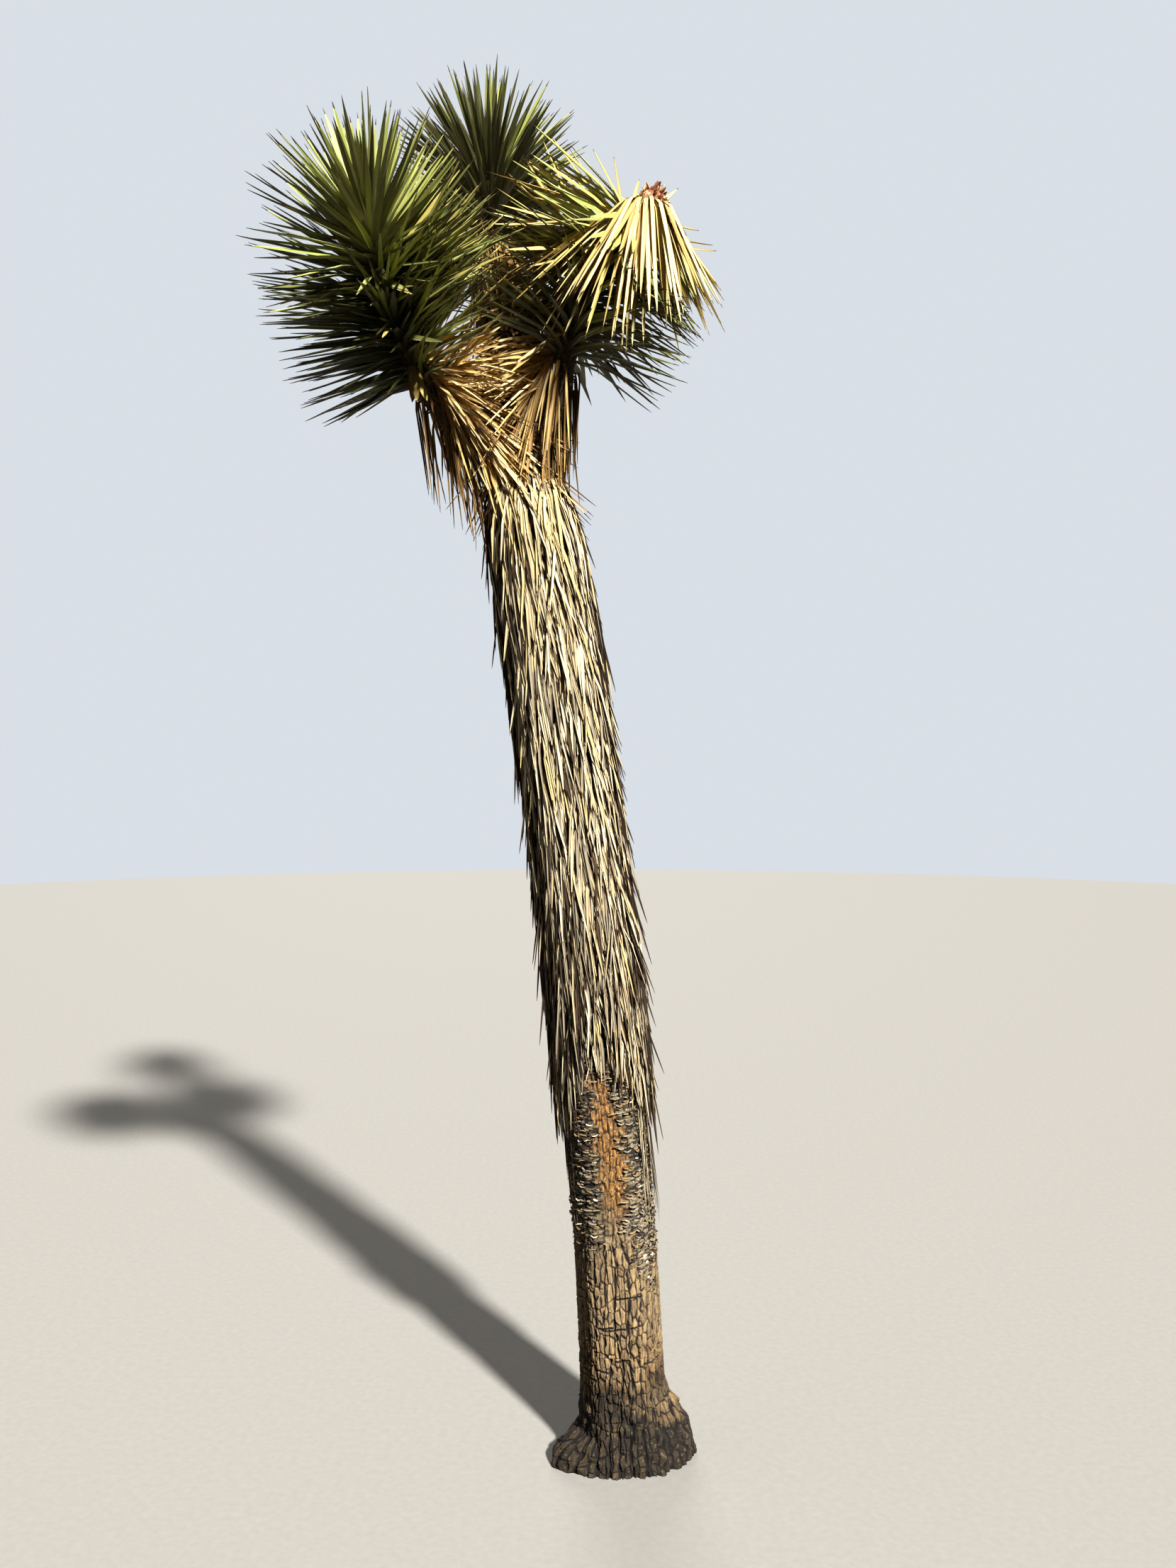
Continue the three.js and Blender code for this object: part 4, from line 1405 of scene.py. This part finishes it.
def skirt(side, count, seed, start, splay, tints):
    """Dead leaves round one bough. Above it they rest on it, and below it a few hang as a curtain."""
    arm = arms[side]
    draw = np.random.default_rng(seed)
    number = np.arange(count)
    part = blend(1.0, start, ((number + draw.uniform(0, 1, count)) / count) ** 1.25)
    share = part * arm.base
    angle = number * GOLDEN_ANGLE + np.radians(draw.uniform(0, 16, count))
    outward = arm.outward(share, angle)
    axis = arm.along(share)
    tilt = np.sqrt(1 - (axis @ UP) ** 2)
    rests = smooth_step(0.2, 0.8, 0.5 + 0.5 * (outward @ UP) / tilt)
    kept = draw.uniform(0, 1, count) < blend(CURTAIN_SHARE, 1.0, rests)
    part, share, rests = part[kept], share[kept], rests[kept]
    outward, axis = outward[kept], axis[kept]
    count = len(part)
    splay_here = splay * smooth_step(start - 0.25, 0.85, part)
    spread = blend(SKIRT_HUG, blend(0.12, splay_here, rests), draw.uniform(0, 1, count) ** 1.5)
    resting = unit(-axis + DOWN * 0.15 + outward * spread[:, None])
    hanging = unit(DOWN - axis * 0.25 + outward * (0.5 * spread)[:, None])
    astray = draw.normal(0, 0.06, (count, 3))
    finish = unit(blend(hanging, resting, rests[:, None]) + astray)
    leave = unit(outward + axis * 0.35)
    roots = arm.at(share) + outward * (blend(*BOUGH_RADII, part) * 0.93)[:, None]
    lengths = DEAD_LENGTH * draw.uniform(0.55, 1.3, count) * (1 - 0.34 * spread) * blend(0.72, 1.0, rests)
    paths = grow(roots, leave, finish, lengths, STRAW.stations, (0.0, 0.15))
    sides = rolled(np.cross(outward, axis), finish, swing(draw, 28, count))
    widths = SKIRT_LEAF_WIDTH * draw.uniform(0.65, 1.15, count) * blend(0.5, 1.0, rests)
    dealt = np.where(rests > 0.2, deal(draw, count, tints), deal(draw, count, CURTAIN_TINTS))
    sweep(f"skirt_leaves_{side}", STRAW, paths, sides, widths, swing(draw, 34, count), dealt, f"skirt_{side}")


for side, numbers in SKIRTS.items():
    skirt(side, **numbers)

# %% [markdown]
# ## Tangle in the fork
# Between the arms, dead leaves of all three have dropped on top of each other. They lie across the fork in
# many directions and close the view through it.

# %% Grow the tangle
# arm, shares of it where leaves root, heading to which they point, how far they rise, and their count
TANGLES = (
    ("left", (0.42, 0.56), -8, (-50, -4), 130),
    ("left", (0.42, 0.60), -6, (-6, 44), 80),
    ("right", (0.34, 0.54), 184, (-46, 10), 90),
    ("middle", (0.42, 0.62), -60, (-34, 48), 60),
)
TANGLE_SEED = 138
TANGLE_TINTS = (7, 8, 1.5, 1)
TANGLE_HALF_TURN = 50
TANGLE_FACING = np.array([0.3, -0.8, 0.6])
TANGLE_DEPTH = 0.0026
TANGLED = replace(STRAW, depths=TANGLE_DEPTH * np.sqrt(DEAD_SHAPE))


def tangle():
    draw = np.random.default_rng(TANGLE_SEED)
    groups = []
    for side, shares, towards, rises, count in TANGLES:
        arm = arms[side]
        share = draw.uniform(*shares, count)
        at = heading(np.radians(towards + draw.uniform(-1, 1, count) * TANGLE_HALF_TURN))
        rise = np.radians(draw.uniform(*rises, count))
        way = at * np.cos(rise)[:, None] + UP * np.sin(rise)[:, None]
        roots = arm.at(share) + at * STEM_RADII[0]
        bent = unit(way + DOWN * draw.uniform(0, 0.35, (count, 1)))
        lengths = DEAD_LENGTH * draw.uniform(0.55, 1.0, count)
        paths = grow(roots, way, bent, lengths, TANGLED.stations, (0.1, 0.8))
        sides = unit(np.cross(way, TANGLE_FACING + draw.normal(0, 0.6, (count, 3))))
        widths = SKIRT_LEAF_WIDTH * draw.uniform(0.55, 1.0, count)
        dealt = deal(draw, count, TANGLE_TINTS)
        groups.append((paths, sides, widths, swing(draw, 60, count), dealt))
    sweep("fork_tangle", TANGLED, *map(np.concatenate, zip(*groups)), "skirt_left")


tangle()

# %% [markdown]
# ## Thatch
# The coat on the trunk is thousands of dead leaves that hang straight down along the trunk. Its lower edge
# is ragged: it ends higher at the front, and reaches lowest at the left and right. Roots are spread evenly
# over the trunk, each blade lies at its own depth in the coat, and the tips stand out a little.

# %% Grow the thatch
THATCH_COUNT = 6500
THATCH_SEED = 150
THATCH_SECTIONS = 4
THATCH_TOP = 2.165
# lowest roots, and between which heights the coat is cut into its sections
THATCH_ROOTS_FROM = 0.86
THATCH_CUTS = (0.815, 2.12)
THATCH_LEAF_WIDTH = 0.0072
THATCH_LEVELS = (0.80, 1.00, 1.15, 1.30, 1.50, 1.85, 2.10, 2.20)
THATCH_WALLS = (0.006, 0.012, 0.014, 0.010, 0.018, 0.024, 0.016, 0.006)
STRAY_SHARE = 0.06
FRINGE_LEVEL = 0.80
FRINGE_EDGE = ((-92, 36, 0.11), (196, 32, -0.16), (-12, 26, -0.09))
FRINGE_RAGGED = 0.034


def thatch():
    """The coat: blades with their roots from its foot to the fork, cut off where the fringe ends."""
    draw = np.random.default_rng(THATCH_SEED)
    count = THATCH_COUNT
    number = np.arange(count)
    z = blend(THATCH_ROOTS_FROM, THATCH_TOP, (number + draw.uniform(0, 1, count)) / count)
    angle = number * GOLDEN_ANGLE + draw.uniform(-0.2, 0.2, count)
    lengths = DEAD_LENGTH * draw.uniform(0.3, 0.8, count)
    tips = z - lengths
    floor_at = edge_height(angle, FRINGE_LEVEL, FRINGE_EDGE) + draw.normal(0, FRINGE_RAGGED, count)
    lengths = np.where(tips < floor_at, np.maximum(z - floor_at, 0.02), lengths)
    kept = (z - floor_at > 0.05) & (lengths > 0.045)
    z, angle, lengths = z[kept], angle[kept], lengths[kept]
    count = len(z)
    outward = heading(angle)
    down = trunk_down(z)
    layer = draw.uniform(0, 1, count) ** 0.7
    wall = np.interp(z - 0.5 * lengths, THATCH_LEVELS, THATCH_WALLS)
    roots = trunk_centre(z) + outward * (trunk_radius(z, angle) + wall * layer * 0.8)[:, None]
    aside = np.cross(outward, UP)
    sway = draw.normal(0, 0.11, count)
    stray = draw.uniform(0, 1, count) < STRAY_SHARE
    lean_out = np.radians(np.abs(draw.normal(0.5, 1.7, count)) + stray * draw.uniform(4, 13, count))
    finish = unit(down + outward * np.tan(lean_out)[:, None] + aside * sway[:, None])
    start = unit(down + outward * 0.3 + aside * (sway - draw.normal(0, 0.22, count))[:, None])
    paths = grow(roots, start, finish, lengths, THATCH.stations, (0.0, 0.6))
    sides = rolled(aside, finish, swing(draw, 26, count))
    bleached = smooth_step(1.0, 1.5, z)
    widths = THATCH_LEAF_WIDTH * draw.uniform(0.6, 1.2, count) * blend(0.72, 1.0, bleached)
    high = smooth_step(1.2, 2.1, z + draw.normal(0, 0.15, count))
    # painted shade: the deeper a blade lies in the coat, the more often it is brown and the less often a
    # light tint
    deep = 1 - smooth_step(0.35, 0.8, layer)
    light = 1 - 0.7 * deep
    crown = smooth_step(1.92, 2.12, z)
    cream = (0.6 + 1.0 * bleached - 0.7 * high) * light
    sand = 1.1 * light
    grey = (1.9 - 0.9 * bleached - 0.7 * high) * light
    gold = (0.06 + 0.6 * high + 2.4 * crown) * light
    brown = 0.05 + 0.75 * deep
    tints = deal_by_odds(draw, cream, sand, grey, gold, brown)
    twist = swing(draw, 40, count)
    cuts = np.linspace(*THATCH_CUTS, THATCH_SECTIONS + 1)
    section_of = np.clip(np.searchsorted(cuts, z) - 1, 0, THATCH_SECTIONS - 1)
    for k in range(THATCH_SECTIONS):
        own = section_of == k
        name = f"thatch_leaves_{k + 1}"
        sweep(name, THATCH, paths[own], sides[own], widths[own], twist[own], tints[own], f"thatch_{k + 1}")


thatch()

# %% [markdown]
# ## Loose threads
# Below the coat's edge a few thin grey threads of old leaf still cling to both sides of the trunk.

# %% Hang the threads
THREADS_PER_SIDE = 26
THREAD_SEED = 160
THREAD_SIDES = (-14, 186)
THREAD_SPREAD = 24
THREAD_HEIGHTS = (0.76, 0.92)
THREAD_LENGTHS = (0.16, 0.34)
THREAD_WIDTHS = (0.0018, 0.0034)
THREAD_DEPTH = 0.0016
THREAD_LIFT = 0.004
THREAD_TINTS = (2, 2, 4, 0, 2)
THREAD = replace(THATCH, depths=THREAD_DEPTH * DEAD_SHAPE, tip=2)


def threads():
    draw = np.random.default_rng(THREAD_SEED)
    count = THREADS_PER_SIDE * len(THREAD_SIDES)
    angle = np.radians(np.repeat(THREAD_SIDES, THREADS_PER_SIDE) + draw.uniform(-1, 1, count) * THREAD_SPREAD)
    z = draw.uniform(*THREAD_HEIGHTS, count)
    outward = heading(angle)
    roots = trunk_centre(z) + outward * (trunk_radius(z, angle) + THREAD_LIFT)[:, None]
    aside = np.cross(outward, UP)
    finish = trunk_down(z) + aside * draw.normal(0, 0.05, (count, 1))
    finish = unit(finish + outward * draw.uniform(0, 0.02, (count, 1)))
    lengths = draw.uniform(*THREAD_LENGTHS, count)
    paths = grow(roots, finish, finish, lengths, THREAD.stations, (0.0, 1.0))
    widths = draw.uniform(*THREAD_WIDTHS, count)
    dealt = deal(draw, count, THREAD_TINTS)
    sweep("thatch_threads", THREAD, paths, aside, widths, np.zeros(count), dealt, "thatch_1")


threads()

# %% [markdown]
# ## Broken leaf bases
# Under the coat the trunk is rough with the rims of leaves that have broken off. Each one is a short
# crescent that lies across the trunk. Most are grey-brown, and a few are pale. At the left of the front more
# are dark, which is painted shade. They leave the bare strip free.

# %% Scatter the stubs
STUB_SHAPE = np.array([0.3, 0.9, 1.0, 0.85, 0.25])
STUB_DEPTH = 0.0020
STUB = BladeKind(
    slot="bark",
    materials=[
        leaf_finish("stub_grey", "#91856f", 0.95),
        leaf_finish("stub_dark", "#3a2f23", 0.95),
        leaf_finish("stub_tan", "#8f774f", 0.95),
        leaf_finish("stub_pale", "#d6caae", 0.95),
    ],
    coats=[(0, 0, 1), (1, 1, 1), (2, 2, 1), (3, 3, 2)],
    section=np.array([(-1.0, 0.0), (1.0, 0.0), (0.0, -1.0)]),
    stations=np.array([0.0, 0.2, 0.5, 0.8, 1.0]),
    shape=STUB_SHAPE,
    depths=STUB_DEPTH * STUB_SHAPE,
)
STUB_COUNT = 3300
STUB_SEED = 170
STUB_LENGTHS = (0.008, 0.022)
STUB_WIDTHS = (0.0035, 0.0075)
STUB_LIFTS = (-0.0022, 0.0012)


def stubs():
    """Crescents that lie across the trunk, each one the torn rim of a leaf base."""
    draw = np.random.default_rng(STUB_SEED)
    z = draw.uniform(STUBS_START - 0.12, STUBS_END, STUB_COUNT)
    angle = draw.uniform(0, math.tau, STUB_COUNT)
    kept = draw.uniform(0, 1, STUB_COUNT) < stub_share(z, angle) * (1 - 1.2 * strip_share(z, angle))
    z, angle = z[kept], angle[kept]
    count = len(z)
    outward = heading(angle)
    aside = np.cross(outward, UP)
    sag = draw.uniform(-0.25, 0.9, count)[:, None]
    stray = draw.normal(0, 0.22, (count, 3))
    lengths = draw.uniform(*STUB_LENGTHS, count)
    start = unit(aside + DOWN * sag + stray)
    finish = unit(aside + UP * sag + stray - outward * (lengths / TRUNK_RADIUS_LOW)[:, None])
    lift = draw.uniform(*STUB_LIFTS, count)
    roots = trunk_centre(z) + outward * (trunk_radius(z, angle) + lift)[:, None]
    paths = grow(roots, start, finish, lengths, STUB.stations, (0.0, 1.0))
    tilt = unit(outward + DOWN * draw.uniform(-0.3, 0.9, count)[:, None])
    widths = draw.uniform(*STUB_WIDTHS, count)
    # painted shade: dark stubs are dealt more often at the left of the front, grey and tan ones at the right
    lit = painted_lit_side(angle)
    tints = deal_by_odds(draw, 2.0 + 2.0 * lit, 2.6 - 1.0 * lit, 2.0 + 0.5 * lit, 0.5 + 0 * lit)
    sweep("leaf_base_stubs", STUB, paths, tilt, widths, np.zeros(count), tints, "trunk")


stubs()
